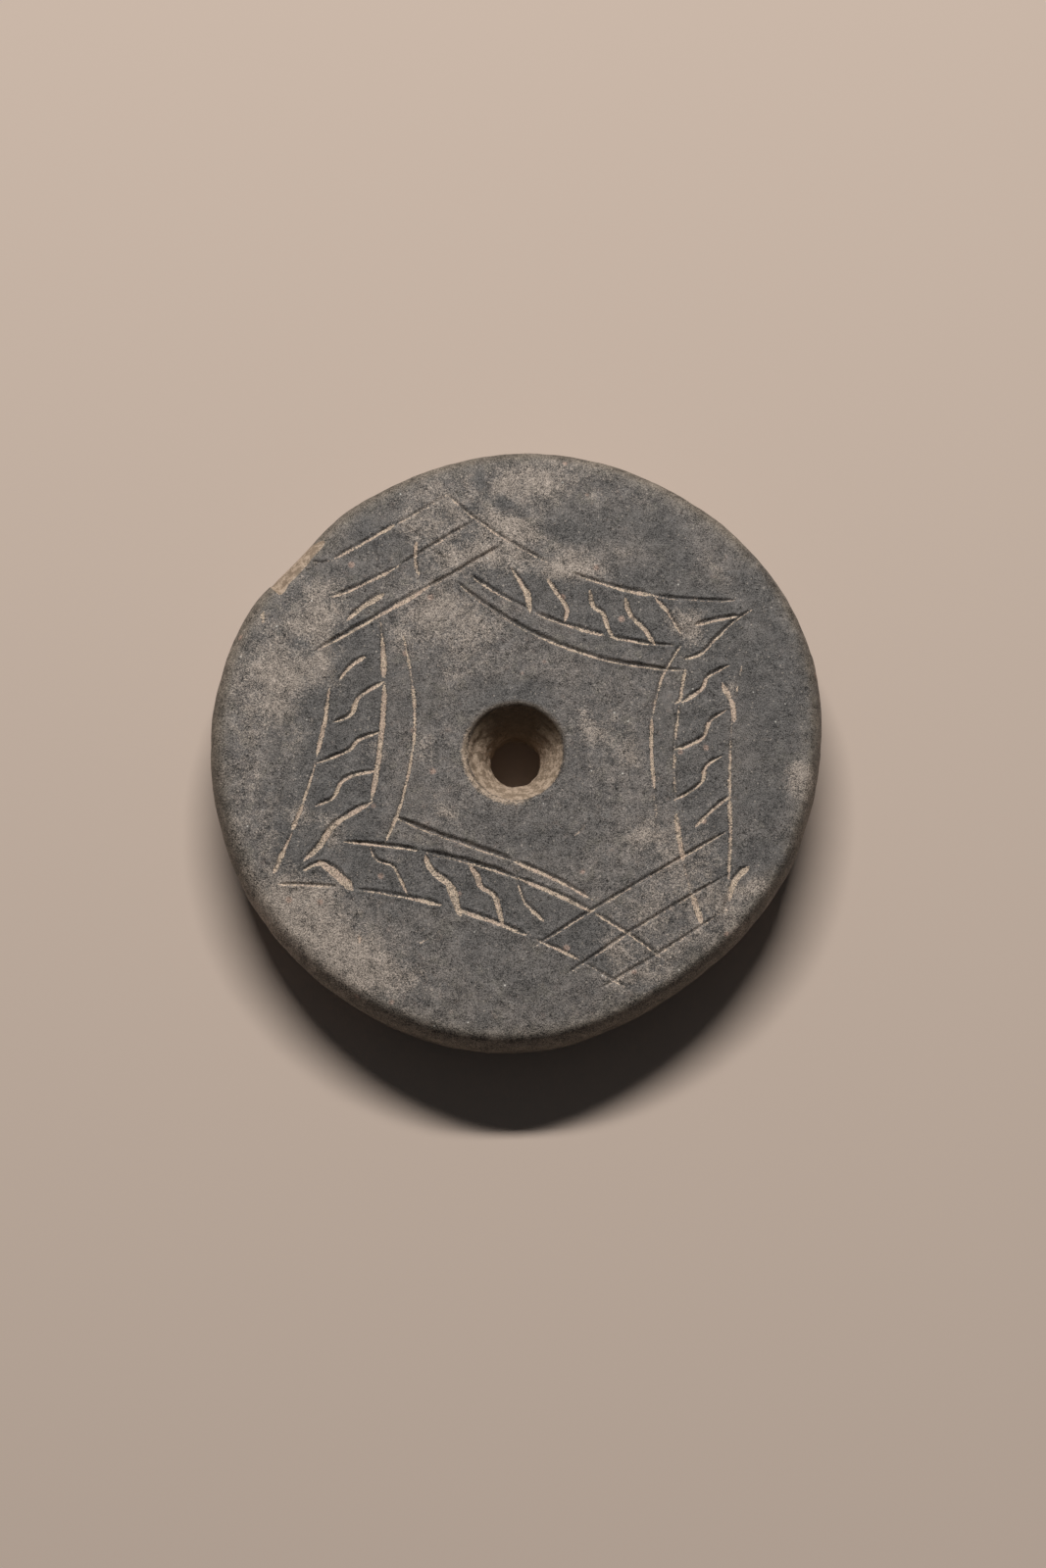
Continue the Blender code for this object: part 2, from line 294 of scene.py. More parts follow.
REACHES = (
    Reach(UPPER_RIGHT_OUTER, -0.02, 0.38, (0.36, 0.48), 0.26, (0.4, 0.5)),
    Reach(UPPER_RIGHT_OUTER, 0.46, 0.73, (0.45, 0.60), 0.36, (0.2, 0.95)),
    Reach(UPPER_RIGHT_OUTER, 0.72, 0.99, (0.45, 0.35), 0.30, (0.3, 0.3)),
    Reach(UPPER_RIGHT_MIDDLE, 0.00, 0.34, (0.40, 0.50), 0.30, (0.35, 0.2)),
    Reach(UPPER_RIGHT_MIDDLE, 0.34, 0.68, (0.45, 0.55), 0.36, (0.3, 0.95)),
    Reach(UPPER_RIGHT_MIDDLE, 0.70, 1.00, (0.55, 0.35), 0.34, (0.9, 0.1)),
    Reach(UPPER_RIGHT_INNER, -0.01, 0.53, (0.45, 0.60), 0.42, (0.2, 0.35)),
    Reach(UPPER_RIGHT_INNER, 0.44, 1.00, (0.60, 0.45), 0.40, (0.85, 0.15)),
    Reach(RIGHT_OUTER, 0.00, 0.16, (0.35, 0.35), 0.16, (0.5, 0.2)),
    Reach(RIGHT_OUTER, 0.15, 0.34, (0.28, 0.28), 0.12, (0.3, 0.4)),
    Reach(RIGHT_OUTER, 0.32, 0.61, (0.34, 0.40), 0.22, (0.5, 0.6)),
    Reach(RIGHT_OUTER, 0.60, 1.01, (0.45, 0.42), 0.28, (0.5, 0.8)),
    Reach(RIGHT_MIDDLE, 0.20, 0.58, (0.38, 0.42), 0.24, (0.5, 0.5)),
    Reach(RIGHT_MIDDLE, 0.60, 0.78, (0.55, 0.62), 0.26, (0.6, 0.9)),
    Reach(RIGHT_MIDDLE, 0.79, 0.91, (0.36, 0.36), 0.26, (0.5, 0.4)),
    Reach(RIGHT_MIDDLE, 0.90, 1.01, (0.55, 0.68), 0.28, (0.8, 1.0)),
    Reach(RIGHT_INNER, -0.01, 0.40, (0.38, 0.42), 0.26, (0.5, 0.5)),
    Reach(RIGHT_INNER, 0.38, 0.74, (0.45, 0.48), 0.26, (0.5, 0.65)),
    Reach(RIGHT_INNER, 0.73, 1.01, (0.40, 0.36), 0.18, (0.5, 0.35)),
    Reach(LOWER_RIGHT_INNER, 0.00, 1.01, (0.45, 0.40), 0.34, (0.3, 0.35)),
    Reach(LOWER_RIGHT_MIDDLE, 0.00, 1.00, (0.45, 0.40), 0.34, (0.3, 0.25)),
    Reach(LOWER_RIGHT_OUTER, 0.00, 1.02, (0.40, 0.35), 0.30, (0.3, 0.25)),
    Reach(BOTTOM_INNER, -0.01, 0.58, (0.55, 0.65), 0.46, (0.3, 0.3)),
    Reach(BOTTOM_INNER, 0.57, 0.97, (0.65, 0.50), 0.40, (0.8, 0.5)),
    Reach(BOTTOM_MIDDLE, 0.00, 0.22, (0.45, 0.50), 0.38, (0.8, 0.4)),
    Reach(BOTTOM_MIDDLE, 0.22, 0.52, (0.55, 0.60), 0.46, (0.2, 0.4)),
    Reach(BOTTOM_MIDDLE, 0.51, 0.75, (0.55, 0.60), 0.36, (0.7, 0.9)),
    Reach(BOTTOM_MIDDLE, 0.76, 1.01, (0.50, 0.38), 0.28, (0.8, 0.3)),
    Reach(BOTTOM_OUTER, 0.00, 0.16, (0.40, 0.40), 0.26, (0.7, 0.2)),
    Reach(BOTTOM_OUTER, 0.21, 0.455, (0.40, 0.62), 0.30, (0.3, 1.0)),
    Reach(BOTTOM_OUTER, 0.50, 0.71, (0.70, 0.48), 0.34, (1.0, 0.5)),
    Reach(BOTTOM_OUTER, 0.73, 0.87, (0.42, 0.45), 0.28, (0.6, 0.8)),
    Reach(BOTTOM_OUTER, 0.87, 1.01, (0.30, 0.30), 0.24, (0.1, 0.5)),
    Reach(LEFT_OUTER, 0.12, 0.44, (0.38, 0.52), 0.34, (0.7, 1.0)),
    Reach(LEFT_OUTER, 0.46, 0.67, (0.32, 0.32), 0.26, (0.4, 0.9)),
    Reach(LEFT_OUTER, 0.67, 0.80, (0.42, 0.65), 0.30, (0.9, 0.9)),
    Reach(LEFT_OUTER, 0.80, 0.90, (0.36, 0.36), 0.26, (0.5, 0.9)),
    Reach(LEFT_OUTER, 0.89, 1.01, (0.66, 0.45), 0.28, (1.0, 0.9)),
    Reach(LEFT_MIDDLE, -0.01, 0.31, (0.25, 0.85), 0.40, (0.5, 1.0)),
    Reach(LEFT_MIDDLE, 0.33, 1.00, (0.60, 0.65), 0.40, (1.0, 1.0)),
    Reach(LEFT_INNER, -0.01, 0.56, (0.36, 0.38), 0.28, (0.5, 0.6)),
    Reach(LEFT_INNER, 0.54, 1.00, (0.38, 0.45), 0.30, (0.6, 0.8)),
    Reach(UPPER_LEFT_OUTER, 0.00, 0.57, (0.45, 0.50), 0.30, (0.5, 1.0)),
    Reach(UPPER_LEFT_OUTER, 0.57, 1.02, (0.30, 0.25), 0.18, (0.4, 0.3)),
    Reach(UPPER_LEFT_MIDDLE, -0.01, 0.46, (0.50, 0.45), 0.30, (0.8, 0.7)),
    Reach(UPPER_LEFT_MIDDLE, 0.47, 1.02, (0.42, 0.40), 0.34, (0.15, 0.2)),
    Reach(UPPER_LEFT_INNER, -0.01, 0.62, (0.55, 0.65), 0.38, (0.4, 1.0)),
    Reach(UPPER_LEFT_INNER, 0.59, 1.01, (0.50, 0.45), 0.42, (0.1, 0.1)),
)

SLASHES = (
    # Across the upper right band, and at its corner.
    Stroke(((-0.021, 0.589), (0.008, 0.543), (0.033, 0.496), (0.043, 0.436)), (0.45, 0.78), 0.36, (0.4, 1.0)),
    Stroke(((0.098, 0.549), (0.130, 0.503), (0.162, 0.450), (0.155, 0.403)), (0.55, 0.50), 0.36, (0.8, 1.0)),
    Stroke(
        ((0.239, 0.516), (0.249, 0.460), (0.281, 0.433), (0.297, 0.383), (0.319, 0.343)),
        (0.50, 0.45), 0.36, (0.8, 1.0),
    ),
    Stroke(((0.355, 0.489), (0.371, 0.430), (0.415, 0.383), (0.454, 0.324)), (0.55, 0.55), 0.38, (0.8, 1.0)),
    Stroke(((0.454, 0.486), (0.490, 0.443), (0.521, 0.396), (0.544, 0.363)), (0.55, 0.45), 0.36, (1.0, 0.4)),
    Stroke(((0.579, 0.393), (0.666, 0.413), (0.730, 0.426)), (0.45, 0.50), 0.34, (0.7, 0.5)),
    Stroke(
        ((0.772, 0.446), (0.708, 0.403), (0.649, 0.343), (0.601, 0.294), (0.543, 0.274)),
        (0.40, 0.45), 0.34, (0.3, 0.9),
    ),
    # Across the right band, and the hooks of its outer and middle lines.
    Stroke(((0.697, 0.257), (0.629, 0.221), (0.606, 0.178), (0.542, 0.132)), (0.50, 0.60), 0.38, (0.5, 0.9)),
    Stroke(
        ((0.689, 0.106), (0.634, 0.069), (0.612, 0.017), (0.563, -0.013), (0.512, -0.029)),
        (0.42, 0.52), 0.36, (0.6, 0.8),
    ),
    Stroke(
        ((0.672, -0.049), (0.617, -0.085), (0.604, -0.134), (0.562, -0.170), (0.514, -0.196)),
        (0.42, 0.48), 0.36, (0.7, 0.6),
    ),
    Stroke(
        ((0.693, -0.186), (0.655, -0.215), (0.617, -0.250), (0.581, -0.288)),
        (0.50, 0.45), 0.32, (0.8, 0.8),
    ),
    Stroke(((0.674, 0.195), (0.697, 0.144), (0.708, 0.105), (0.711, 0.062)), (0.95, 0.65), 0.18, (0.6, 0.6)),
    Stroke(((0.555, 0.244), (0.541, 0.184), (0.535, 0.144), (0.518, 0.127)), (0.40, 0.40), 0.28, (0.6, 0.8)),
    # The corner stroke of the lower right band.
    Stroke(
        ((0.754, -0.418), (0.713, -0.457), (0.693, -0.509), (0.667, -0.586)),
        (1.00, 0.65), 0.34, (0.8, 0.4),
    ),
    # Across the bottom band, from the corner that it shares with the left one.
    Stroke(((-0.697, -0.434), (-0.660, -0.414), (-0.622, -0.408)), (0.40, 0.50), 0.34, (0.8, 1.0)),
    Stroke(((-0.648, -0.402), (-0.592, -0.440), (-0.535, -0.498)), (0.85, 1.15), 0.42, (1.0, 1.0)),
    Stroke(
        ((-0.482, -0.343), (-0.459, -0.395), (-0.405, -0.418), (-0.380, -0.463), (-0.357, -0.515)),
        (0.36, 0.42), 0.32, (0.6, 0.8),
    ),
    Stroke(
        ((-0.300, -0.380), (-0.281, -0.427), (-0.243, -0.462), (-0.212, -0.484)),
        (0.55, 0.90), 0.36, (0.8, 1.0),
    ),
    Stroke(
        ((-0.226, -0.468), (-0.206, -0.520), (-0.194, -0.556), (-0.182, -0.586)),
        (1.00, 0.55), 0.38, (1.0, 1.0),
    ),
    Stroke(
        (
            (-0.160, -0.406), (-0.131, -0.449), (-0.118, -0.485), (-0.076, -0.515),
            (-0.060, -0.567), (-0.047, -0.617),
        ),
        (0.65, 0.58), 0.40, (0.9, 1.0),
    ),
    Stroke(
        (
            (-0.018, -0.406), (-0.003, -0.449), (0.010, -0.495), (0.025, -0.538),
            (0.052, -0.567), (0.089, -0.603),
        ),
        (0.28, 0.60), 0.32, (0.2, 0.9),
    ),
    # Across the left band, and the faint trial line beside its inner one.
    Stroke(((-0.588, 0.204), (-0.547, 0.254), (-0.496, 0.287)), (0.50, 0.55), 0.36, (0.7, 1.0)),
    Stroke(
        ((-0.606, 0.063), (-0.545, 0.092), (-0.517, 0.152), (-0.434, 0.201)),
        (0.50, 0.55), 0.38, (0.6, 1.0),
    ),
    Stroke(
        ((-0.659, -0.075), (-0.554, -0.032), (-0.516, 0.007), (-0.446, 0.033)),
        (0.48, 0.48), 0.38, (0.8, 0.8),
    ),
    Stroke(
        ((-0.661, -0.219), (-0.601, -0.190), (-0.573, -0.134), (-0.522, -0.111), (-0.461, -0.101)),
        (0.48, 0.52), 0.38, (0.7, 1.0),
    ),
    Stroke(
        ((-0.694, -0.398), (-0.641, -0.346), (-0.594, -0.278), (-0.470, -0.203)),
        (0.75, 0.78), 0.42, (1.0, 1.0),
    ),
    Stroke(((-0.363, 0.112), (-0.366, -0.019), (-0.372, -0.144)), (0.40, 0.40), 0.12, (0.1, 0.1)),
    # Across the upper left band.
    Stroke(((-0.560, 0.408), (-0.508, 0.456), (-0.438, 0.498)), (0.58, 0.95), 0.36, (0.8, 1.0)),
    Stroke(((-0.476, 0.686), (-0.466, 0.636), (-0.456, 0.589)), (0.28, 0.28), 0.16, (0.15, 0.1)),
    Stroke(
        ((-0.332, 0.678), (-0.336, 0.632), (-0.334, 0.594), (-0.323, 0.561)),
        (0.40, 0.45), 0.22, (0.6, 0.7),
    ),
    Stroke(((-0.395, 0.735), (-0.352, 0.716), (-0.322, 0.688)), (0.25, 0.25), 0.14, (0.1, 0.1)),
    Stroke(((-0.292, 0.655), (-0.262, 0.634), (-0.229, 0.617)), (0.25, 0.25), 0.14, (0.1, 0.1)),
    Stroke(((-0.681, 0.613), (-0.649, 0.606), (-0.623, 0.613)), (0.35, 0.35), 0.22, (0.1, 0.1)),
    Stroke(((-0.606, 0.523), (-0.599, 0.450), (-0.583, 0.377)), (0.30, 0.30), 0.10, (0.3, 0.2)),
    # Faint scratches and a fleck below the bottom band, and a nick in the left edge.
    Stroke(((-0.360, -0.691), (-0.290, -0.655), (-0.231, -0.610)), (0.50, 0.50), 0.05, (0.15, 0.2)),
    Stroke(((0.170, -0.330), (0.215, -0.290), (0.245, -0.262)), (0.40, 0.40), 0.05, (0.15, 0.2)),
    Stroke(((-0.513, -0.648), (-0.511, -0.660), (-0.514, -0.675)), (0.55, 0.45), 0.08, (0.7, 0.7)),
    Stroke(((-0.840, 0.445), (-0.838, 0.422), (-0.836, 0.398)), (0.40, 0.35), 0.20, (1.0, 1.0)),
)
STATIONS = 25
TAPER_SHARE = 0.14
TAPER_LEAST = 0.02
WOBBLE = 0.05 * MM
WOBBLE_SIZE = 2.5 * MM
SWELL_SHARE = 0.16
SWELL_SIZES = (1.8 * MM, 0.7 * MM)
FILL_WANDER = 0.25
FILL_WANDER_SIZE = 1.2 * MM
UPPER_WALL_SHARE = 0.42
WALL_POWER = 0.75
FILLED_SHARE = 0.55
CUT_LIP_SHARE = 0.10
CUT_LIP_WIDTH = 0.30 * MM
CUT_MARGIN = 2.5 * MM
FAR_OFF = 9 * MM
SMALLEST = 0.01 * MM

HOLE_CENTRE = np.array([-0.2, -1.3]) * MM

# A cut is a stroke or a reach worked out: a path of stations, and the half width, depth and fill at each.
Cut = namedtuple("Cut", "path half_width depth fill")


def line_places(line, share):
    """Places along a line: its chord, bowed towards the hole by 4 bow s (1 - s), which leans to one end by
    the factor 1 + lean (2s - 1)."""
    start = np.array(line.start) * RADIUS
    chord = np.array(line.end) * RADIUS - start
    across = np.array([-chord[1], chord[0]]) / np.hypot(*chord)
    across *= np.sign(across @ (HOLE_CENTRE - start - chord / 2))
    bow = 4 * line.bow * RADIUS * share * (1 - share) * (1 + line.lean * (2 * share - 1))
    return start + share[:, None] * chord + bow[:, None] * across


def stroke_places(places, share):
    """A smooth curve through a few places: between each two, the cubic whose slopes join the places on either
    side, as a Catmull-Rom spline has."""
    knots = np.array(places) * RADIUS
    padded = np.vstack((2 * knots[0] - knots[1], knots, 2 * knots[-1] - knots[-2]))
    along = share * (len(knots) - 1)
    piece = np.minimum(along.astype(int), len(knots) - 2)
    t = (along - piece)[:, None]
    before, start, end, after = (padded[piece + i] for i in range(4))
    bend = 2 * before - 5 * start + 4 * end - after
    twist = 3 * (start - end) + after - before
    return start + 0.5 * ((end - before) * t + bend * t**2 + twist * t**3)


def cut_along(path, stroke, seed):
    """A cut along a path: it wanders a little as a hand does, swells and thins, and tapers at both ends by
    the square root of the share of the taper that is run."""
    share = np.linspace(0, 1, len(path))
    spots = np.column_stack((path, np.full(len(path), seed * MM)))
    wobble = np.column_stack([hills(spots, WOBBLE_SIZE, seed + i) for i in (0, 1)]) * WOBBLE
    taper = np.sqrt(np.clip(np.minimum(share, 1 - share) / TAPER_SHARE, TAPER_LEAST, 1))
    broad_swell = hills(spots, SWELL_SIZES[0], seed + 2)
    fine_swell = hills(spots, SWELL_SIZES[1], seed + 4)
    swell = 1 + SWELL_SHARE * broad_swell + SWELL_SHARE * fine_swell
    fill = np.interp(share, (0, 1), stroke.fills)
    fill = np.clip(fill + FILL_WANDER * hills(spots, FILL_WANDER_SIZE, seed + 3), 0, 1)
    half_width = np.interp(share, (0, 1), stroke.widths) * MM / 2 * taper * swell
    return Cut(path + wobble, half_width, stroke.depth * MM * taper, fill)


def star_cuts():
    """Every cut of the star, first the reaches of the lines and then the slashes, each with its own seed."""
    cuts = []
    for i, reach in enumerate(REACHES):
        share = np.linspace(reach.begin, reach.finish, STATIONS)
        cuts.append(cut_along(line_places(reach.line, share), reach, 100 + 10 * i))
    for i, slash in enumerate(SLASHES):
        places = stroke_places(slash.places, np.linspace(0, 1, STATIONS))
        cuts.append(cut_along(places, slash, 2000 + 10 * i))
    return cuts


def nearest_on(cut, spots):
    """For each spot, its offset from a cut's path and the station there, counted with its fraction: the
    offset is the shortest one to any straight piece between two stations."""
    start = cut.path[:-1]
    piece = np.diff(cut.path, axis=0)
    away = spots[:, None] - start
    run = np.clip((away * piece).sum(2) / (piece * piece).sum(1), 0, 1)
    offset = away - run[..., None] * piece
    best = (offset**2).sum(axis=2).argmin(axis=1)
    rows = np.arange(len(spots))
    return offset[rows, best], best + run[rows, best]


def near_box(cut, spots, margin):
    """The numbers of the spots inside the box round a cut's path, grown by a margin."""
    low = cut.path.min(axis=0) - margin
    high = cut.path.max(axis=0) + margin
    return np.flatnonzero(((spots > low) & (spots < high)).all(axis=1))


def carve(spots, cuts):
    """What the cuts do at each spot of the face: how deep they go, how high their lips stand, how much pale
    sediment shows, and how far the nearest cut's edge lies. A cut is a V with a rounded keel, wider towards
    its upper wall, between two low lips of pushed-up clay. The sediment fills it from its lower wall, which
    faces the lamp, up to a share of its width, and the upper wall stands clear. Its pale colour on that lit
    wall is partly real sediment and partly painted light."""
    depth = np.zeros(len(spots))
    lip = np.zeros(len(spots))
    sediment = np.zeros(len(spots))
    clearance = np.full(len(spots), FAR_OFF)
    for cut in cuts:
        near = near_box(cut, spots, CUT_MARGIN)
        if not len(near):
            continue
        offset, station = nearest_on(cut, spots[near])
        distance = np.hypot(*offset.T)
        stations = np.arange(len(cut.path))
        half_width = np.interp(station, stations, cut.half_width)
        full_depth = np.interp(station, stations, cut.depth)
        fill = np.interp(station, stations, cut.fill)
        upwards = np.clip(offset[:, 1] / np.maximum(distance, SMALLEST), 0, 1)
        reach = half_width * (1 + UPPER_WALL_SHARE * upwards)
        inside = np.clip(1 - distance / reach, 0, 1)
        rise = offset[:, 1] / half_width
        # Partly painted light: the pale sediment leans onto the lower wall, which faces the lamp.
        lamp_side_cover = np.clip((fill - 0.4 - rise) * 2.5 + 0.5, 0, 1)
        wall = full_depth * inside**WALL_POWER
        bottom = full_depth * (1 - FILLED_SHARE * fill * lamp_side_cover)
        depth[near] = np.maximum(depth[near], np.minimum(wall, bottom))
        outside = (distance - reach) / CUT_LIP_WIDTH
        pushed_up = full_depth * CUT_LIP_SHARE * np.exp(-((outside - 0.5) ** 2) * 3)
        lip[near] = np.maximum(lip[near], pushed_up)
        shown = np.clip(0.3 + 0.8 * fill, 0, 1) * lamp_side_cover * np.clip(inside * 4, 0, 1)
        sediment[near] = np.maximum(sediment[near], shown)
        clearance[near] = np.minimum(clearance[near], distance - reach)
    return depth, lip * (depth < SMALLEST), sediment, clearance


# What lies on the face: soil that clings to it in pale patches, darker clouds of soot from the fire, and a
# bluer, darker ground inside the bands. A patch is a soft-edged oval with a place, a length, a width and a
# turn, in shares of the disc's radius and in degrees.
Patch = namedtuple("Patch", "x y length width turn strength")

SOIL_PATCHES = (
    # Along the top edge, and the streaks under the star's top corner.
    Patch(0.04, 0.90, 0.143, 0.057, 0, 0.7),
    Patch(-0.06, 0.84, 0.350, 0.080, 0, 0.4),
    Patch(0.01, 0.72, 0.134, 0.034, -25, 1.0),
    Patch(-0.20, 0.76, 0.095, 0.038, 30, 0.5),
    Patch(-0.14, 0.64, 0.170, 0.065, 5, 0.75),
    Patch(0.00, 0.64, 0.065, 0.060, 0, 0.5),
    Patch(-0.31, 0.71, 0.055, 0.060, 0, 0.5),
    Patch(-0.31, 0.78, 0.127, 0.045, 25, 0.35),
    Patch(-0.31, 0.87, 0.050, 0.035, 25, 0.3),
    Patch(-0.08, 0.79, 0.035, 0.045, 0, 0.5),
    # Above the upper right band, and out towards the edge.
    Patch(0.18, 0.59, 0.115, 0.042, -8, 0.95),
    Patch(0.35, 0.65, 0.050, 0.035, 10, 0.4),
    Patch(0.39, 0.80, 0.060, 0.040, 0, 0.35),
    Patch(0.16, 0.65, 0.050, 0.035, 0, 0.35),
    Patch(0.31, 0.57, 0.050, 0.035, -10, 0.35),
    Patch(0.565, 0.385, 0.075, 0.055, -45, 0.9),
    Patch(0.65, 0.60, 0.102, 0.019, -35, 0.6),
    # Down the left side, outside the star.
    Patch(-0.64, 0.52, 0.095, 0.038, 30, 0.3),
    Patch(-0.66, 0.42, 0.085, 0.100, 0, 0.9),
    Patch(-0.64, 0.26, 0.070, 0.080, 0, 0.7),
    Patch(-0.77, 0.22, 0.100, 0.170, 0, 0.85),
    Patch(-0.85, 0.24, 0.080, 0.080, 0, 0.4),
    Patch(-0.90, -0.08, 0.080, 0.318, 0, 0.35),
    Patch(-0.70, -0.23, 0.040, 0.045, 0, 0.35),
    Patch(-0.80, -0.31, 0.048, 0.127, -20, 0.3),
    Patch(-0.68, -0.49, 0.110, 0.060, 0, 0.6),
    Patch(-0.61, -0.54, 0.070, 0.050, 0, 0.5),
    Patch(-0.77, -0.46, 0.045, 0.050, 0, 0.5),
    Patch(-0.72, -0.62, 0.223, 0.083, -35, 1.0),
    Patch(-0.57, -0.68, 0.140, 0.110, -35, 0.6),
    Patch(-0.54, -0.74, 0.159, 0.070, -35, 0.9),
    Patch(-0.41, -0.77, 0.130, 0.080, -20, 0.5),
    # Inside the star.
    Patch(-0.28, 0.46, 0.100, 0.080, 0, 0.7),
    Patch(-0.38, 0.36, 0.045, 0.080, 0, 0.5),
    Patch(-0.23, 0.24, 0.050, 0.040, 0, 0.3),
    Patch(-0.18, 0.35, 0.134, 0.143, 0, 0.35),
    Patch(-0.12, 0.40, 0.070, 0.038, 20, 0.5),
    Patch(-0.30, -0.03, 0.045, 0.070, 0, 0.4),
    Patch(0.23, 0.04, 0.060, 0.070, 0, 0.45),
    Patch(0.33, -0.01, 0.111, 0.127, 0, 0.3),
    Patch(0.43, -0.30, 0.080, 0.055, 0, 0.65),
    Patch(0.39, -0.07, 0.050, 0.050, 0, 0.35),
    # On the left and the bottom band.
    Patch(-0.62, -0.30, 0.060, 0.060, 0, 0.65),
    Patch(-0.46, -0.04, 0.035, 0.060, 0, 0.35),
    Patch(-0.38, -0.39, 0.045, 0.035, 0, 0.25),
    Patch(-0.235, -0.24, 0.040, 0.030, 0, 0.8),
    # On the right band, the round spot by the edge, and round the star's lower right corner.
    Patch(0.69, 0.16, 0.025, 0.041, -10, 0.7),
    Patch(0.92, -0.14, 0.045, 0.055, 0, 1.0),
    Patch(0.91, -0.13, 0.045, 0.050, 0, 1.0),
    Patch(0.78, -0.49, 0.070, 0.032, 0, 0.8),
    Patch(0.56, -0.42, 0.160, 0.140, 0, 0.45),
    Patch(0.57, -0.68, 0.100, 0.050, 35, 0.35),
    Patch(0.65, -0.54, 0.100, 0.060, 20, 0.6),
    Patch(0.31, -0.70, 0.050, 0.050, 0, 0.5),
    Patch(0.42, -0.58, 0.100, 0.070, 0, 0.4),
    Patch(0.39, -0.75, 0.150, 0.080, 25, 0.45),
    Patch(0.00, -0.62, 0.045, 0.040, 0, 0.25),
    Patch(0.69, -0.61, 0.050, 0.040, 40, 0.4),
    Patch(0.46, -0.78, 0.050, 0.040, 25, 0.3),
)
SOOT_PATCHES = (
    # Above the upper right band, and near the top edge.
    Patch(0.20, 0.72, 0.121, 0.064, -10, 0.9),
    Patch(0.45, 0.73, 0.127, 0.070, -15, 0.7),
    Patch(-0.04, 0.81, 0.045, 0.029, 0, 1.0),
    Patch(-0.11, 0.88, 0.024, 0.085, 15, 1.0),
    Patch(-0.15, 0.80, 0.040, 0.040, 0, 0.6),
    Patch(0.38, 0.56, 0.080, 0.050, -10, 0.8),
    Patch(0.08, 0.64, 0.045, 0.040, 0, 0.45),
    Patch(0.62, 0.32, 0.045, 0.040, 0, 0.4),
    Patch(0.54, 0.63, 0.080, 0.050, -30, 0.6),
    Patch(0.45, 0.37, 0.080, 0.080, 0, 0.5),
    Patch(0.47, 0.54, 0.130, 0.090, 0, 0.5),
    # Down the right side.
    Patch(0.78, 0.52, 0.089, 0.127, 20, 0.6),
    Patch(0.79, 0.25, 0.095, 0.127, 0, 0.5),
    Patch(0.83, 0.08, 0.160, 0.420, 0, 0.55),
    Patch(0.89, 0.14, 0.090, 0.180, 0, 0.5),
    Patch(0.46, 0.00, 0.040, 0.160, 0, 0.55),
    Patch(0.78, -0.20, 0.090, 0.080, 0, 0.6),
    Patch(0.78, -0.38, 0.120, 0.070, 0, 0.75),
    # Round the hole and below the bottom band.
    Patch(0.26, 0.35, 0.160, 0.060, -15, 0.4),
    Patch(0.00, 0.17, 0.110, 0.040, 0, 1.0),
    Patch(0.00, 0.14, 0.140, 0.030, 0, 0.8),
    Patch(0.00, 0.40, 0.060, 0.040, 0, 0.6),
    Patch(-0.15, 0.10, 0.040, 0.050, 0, 0.5),
    Patch(-0.15, -0.24, 0.050, 0.040, 0, 0.5),
    Patch(-0.36, 0.12, 0.060, 0.070, 0, 0.5),
    Patch(-0.31, 0.17, 0.040, 0.040, 0, 0.35),
    Patch(-0.37, -0.27, 0.060, 0.050, 0, 0.4),
    Patch(0.03, -0.32, 0.190, 0.110, -5, 0.65),
    Patch(-0.09, -0.67, 0.160, 0.100, 0, 0.55),
    Patch(0.02, -0.80, 0.190, 0.089, 0, 0.4),
    # On the upper left band and left of it.
    Patch(-0.69, 0.32, 0.057, 0.035, 0, 0.9),
    Patch(-0.69, 0.14, 0.045, 0.070, 0, 0.9),
    Patch(-0.61, -0.15, 0.050, 0.045, 0, 0.9),
    Patch(-0.44, 0.68, 0.045, 0.025, 30, 0.5),
    Patch(-0.50, 0.71, 0.080, 0.050, 35, 0.8),
)

# The two lines that a band's darker ground lies between, and how strongly it shows.
BAND_GROUNDS = (
    (UPPER_RIGHT_OUTER, UPPER_RIGHT_MIDDLE, 1.0),
    (RIGHT_OUTER, RIGHT_MIDDLE, 0.8),
    (LOWER_RIGHT_OUTER, LOWER_RIGHT_INNER, 0.1),
    (BOTTOM_OUTER, BOTTOM_MIDDLE, 0.9),
    (LEFT_OUTER, LEFT_MIDDLE, 1.0),
    (UPPER_LEFT_OUTER, UPPER_LEFT_MIDDLE, 0.35),
)
BAND_REACH = 1.15
BAND_FADE = 0.5
SOOT_OVER_SOIL = 0.8

# The patches' outlines are pushed about by hills, one lot sideways and one lot upwards.
PATCH_WARPS = (
    (Hill(0.90, 3.2, 51), Hill(0.45, 1.3, 53)),
    (Hill(0.90, 3.2, 52), Hill(0.45, 1.3, 54)),
)


def patchy(spots, patches):
    """How strongly the patches show at each spot: for each, its strength times e to the minus squared
    distance in shares of its half sizes, and all of them laid over each other."""
    clear = np.ones(len(spots))
    for patch in patches:
        turn = np.radians(patch.turn)
        away = spots / RADIUS - (patch.x, patch.y)
        along = (away @ (np.cos(turn), np.sin(turn))) / patch.length
        across = (away @ (-np.sin(turn), np.cos(turn))) / patch.width
        clear *= 1 - patch.strength * np.exp(-(along**2 + across**2))
    return 1 - clear


def band_ground(spots):
    """How far each spot is inside a band: 1 along its middle, and a smooth step down to 0 past its lines."""
    inside = np.zeros(len(spots))
    share = np.linspace(0, 1, STATIONS)
    for outer, inner, strength in BAND_GROUNDS:
        outer_path = line_places(outer, share)
        inner_path = line_places(inner, share)
        middle = Cut((outer_path + inner_path) / 2, None, None, None)
        offset, station = nearest_on(middle, spots)
        distance = np.hypot(*offset.T)
        half = np.interp(station, np.arange(STATIONS), np.hypot(*(outer_path - inner_path).T) / 2)
        edge = np.clip((BAND_REACH - distance / half) / BAND_FADE, 0, 1)
        inside = np.maximum(inside, strength * edge * edge * (3 - 2 * edge))
    return inside


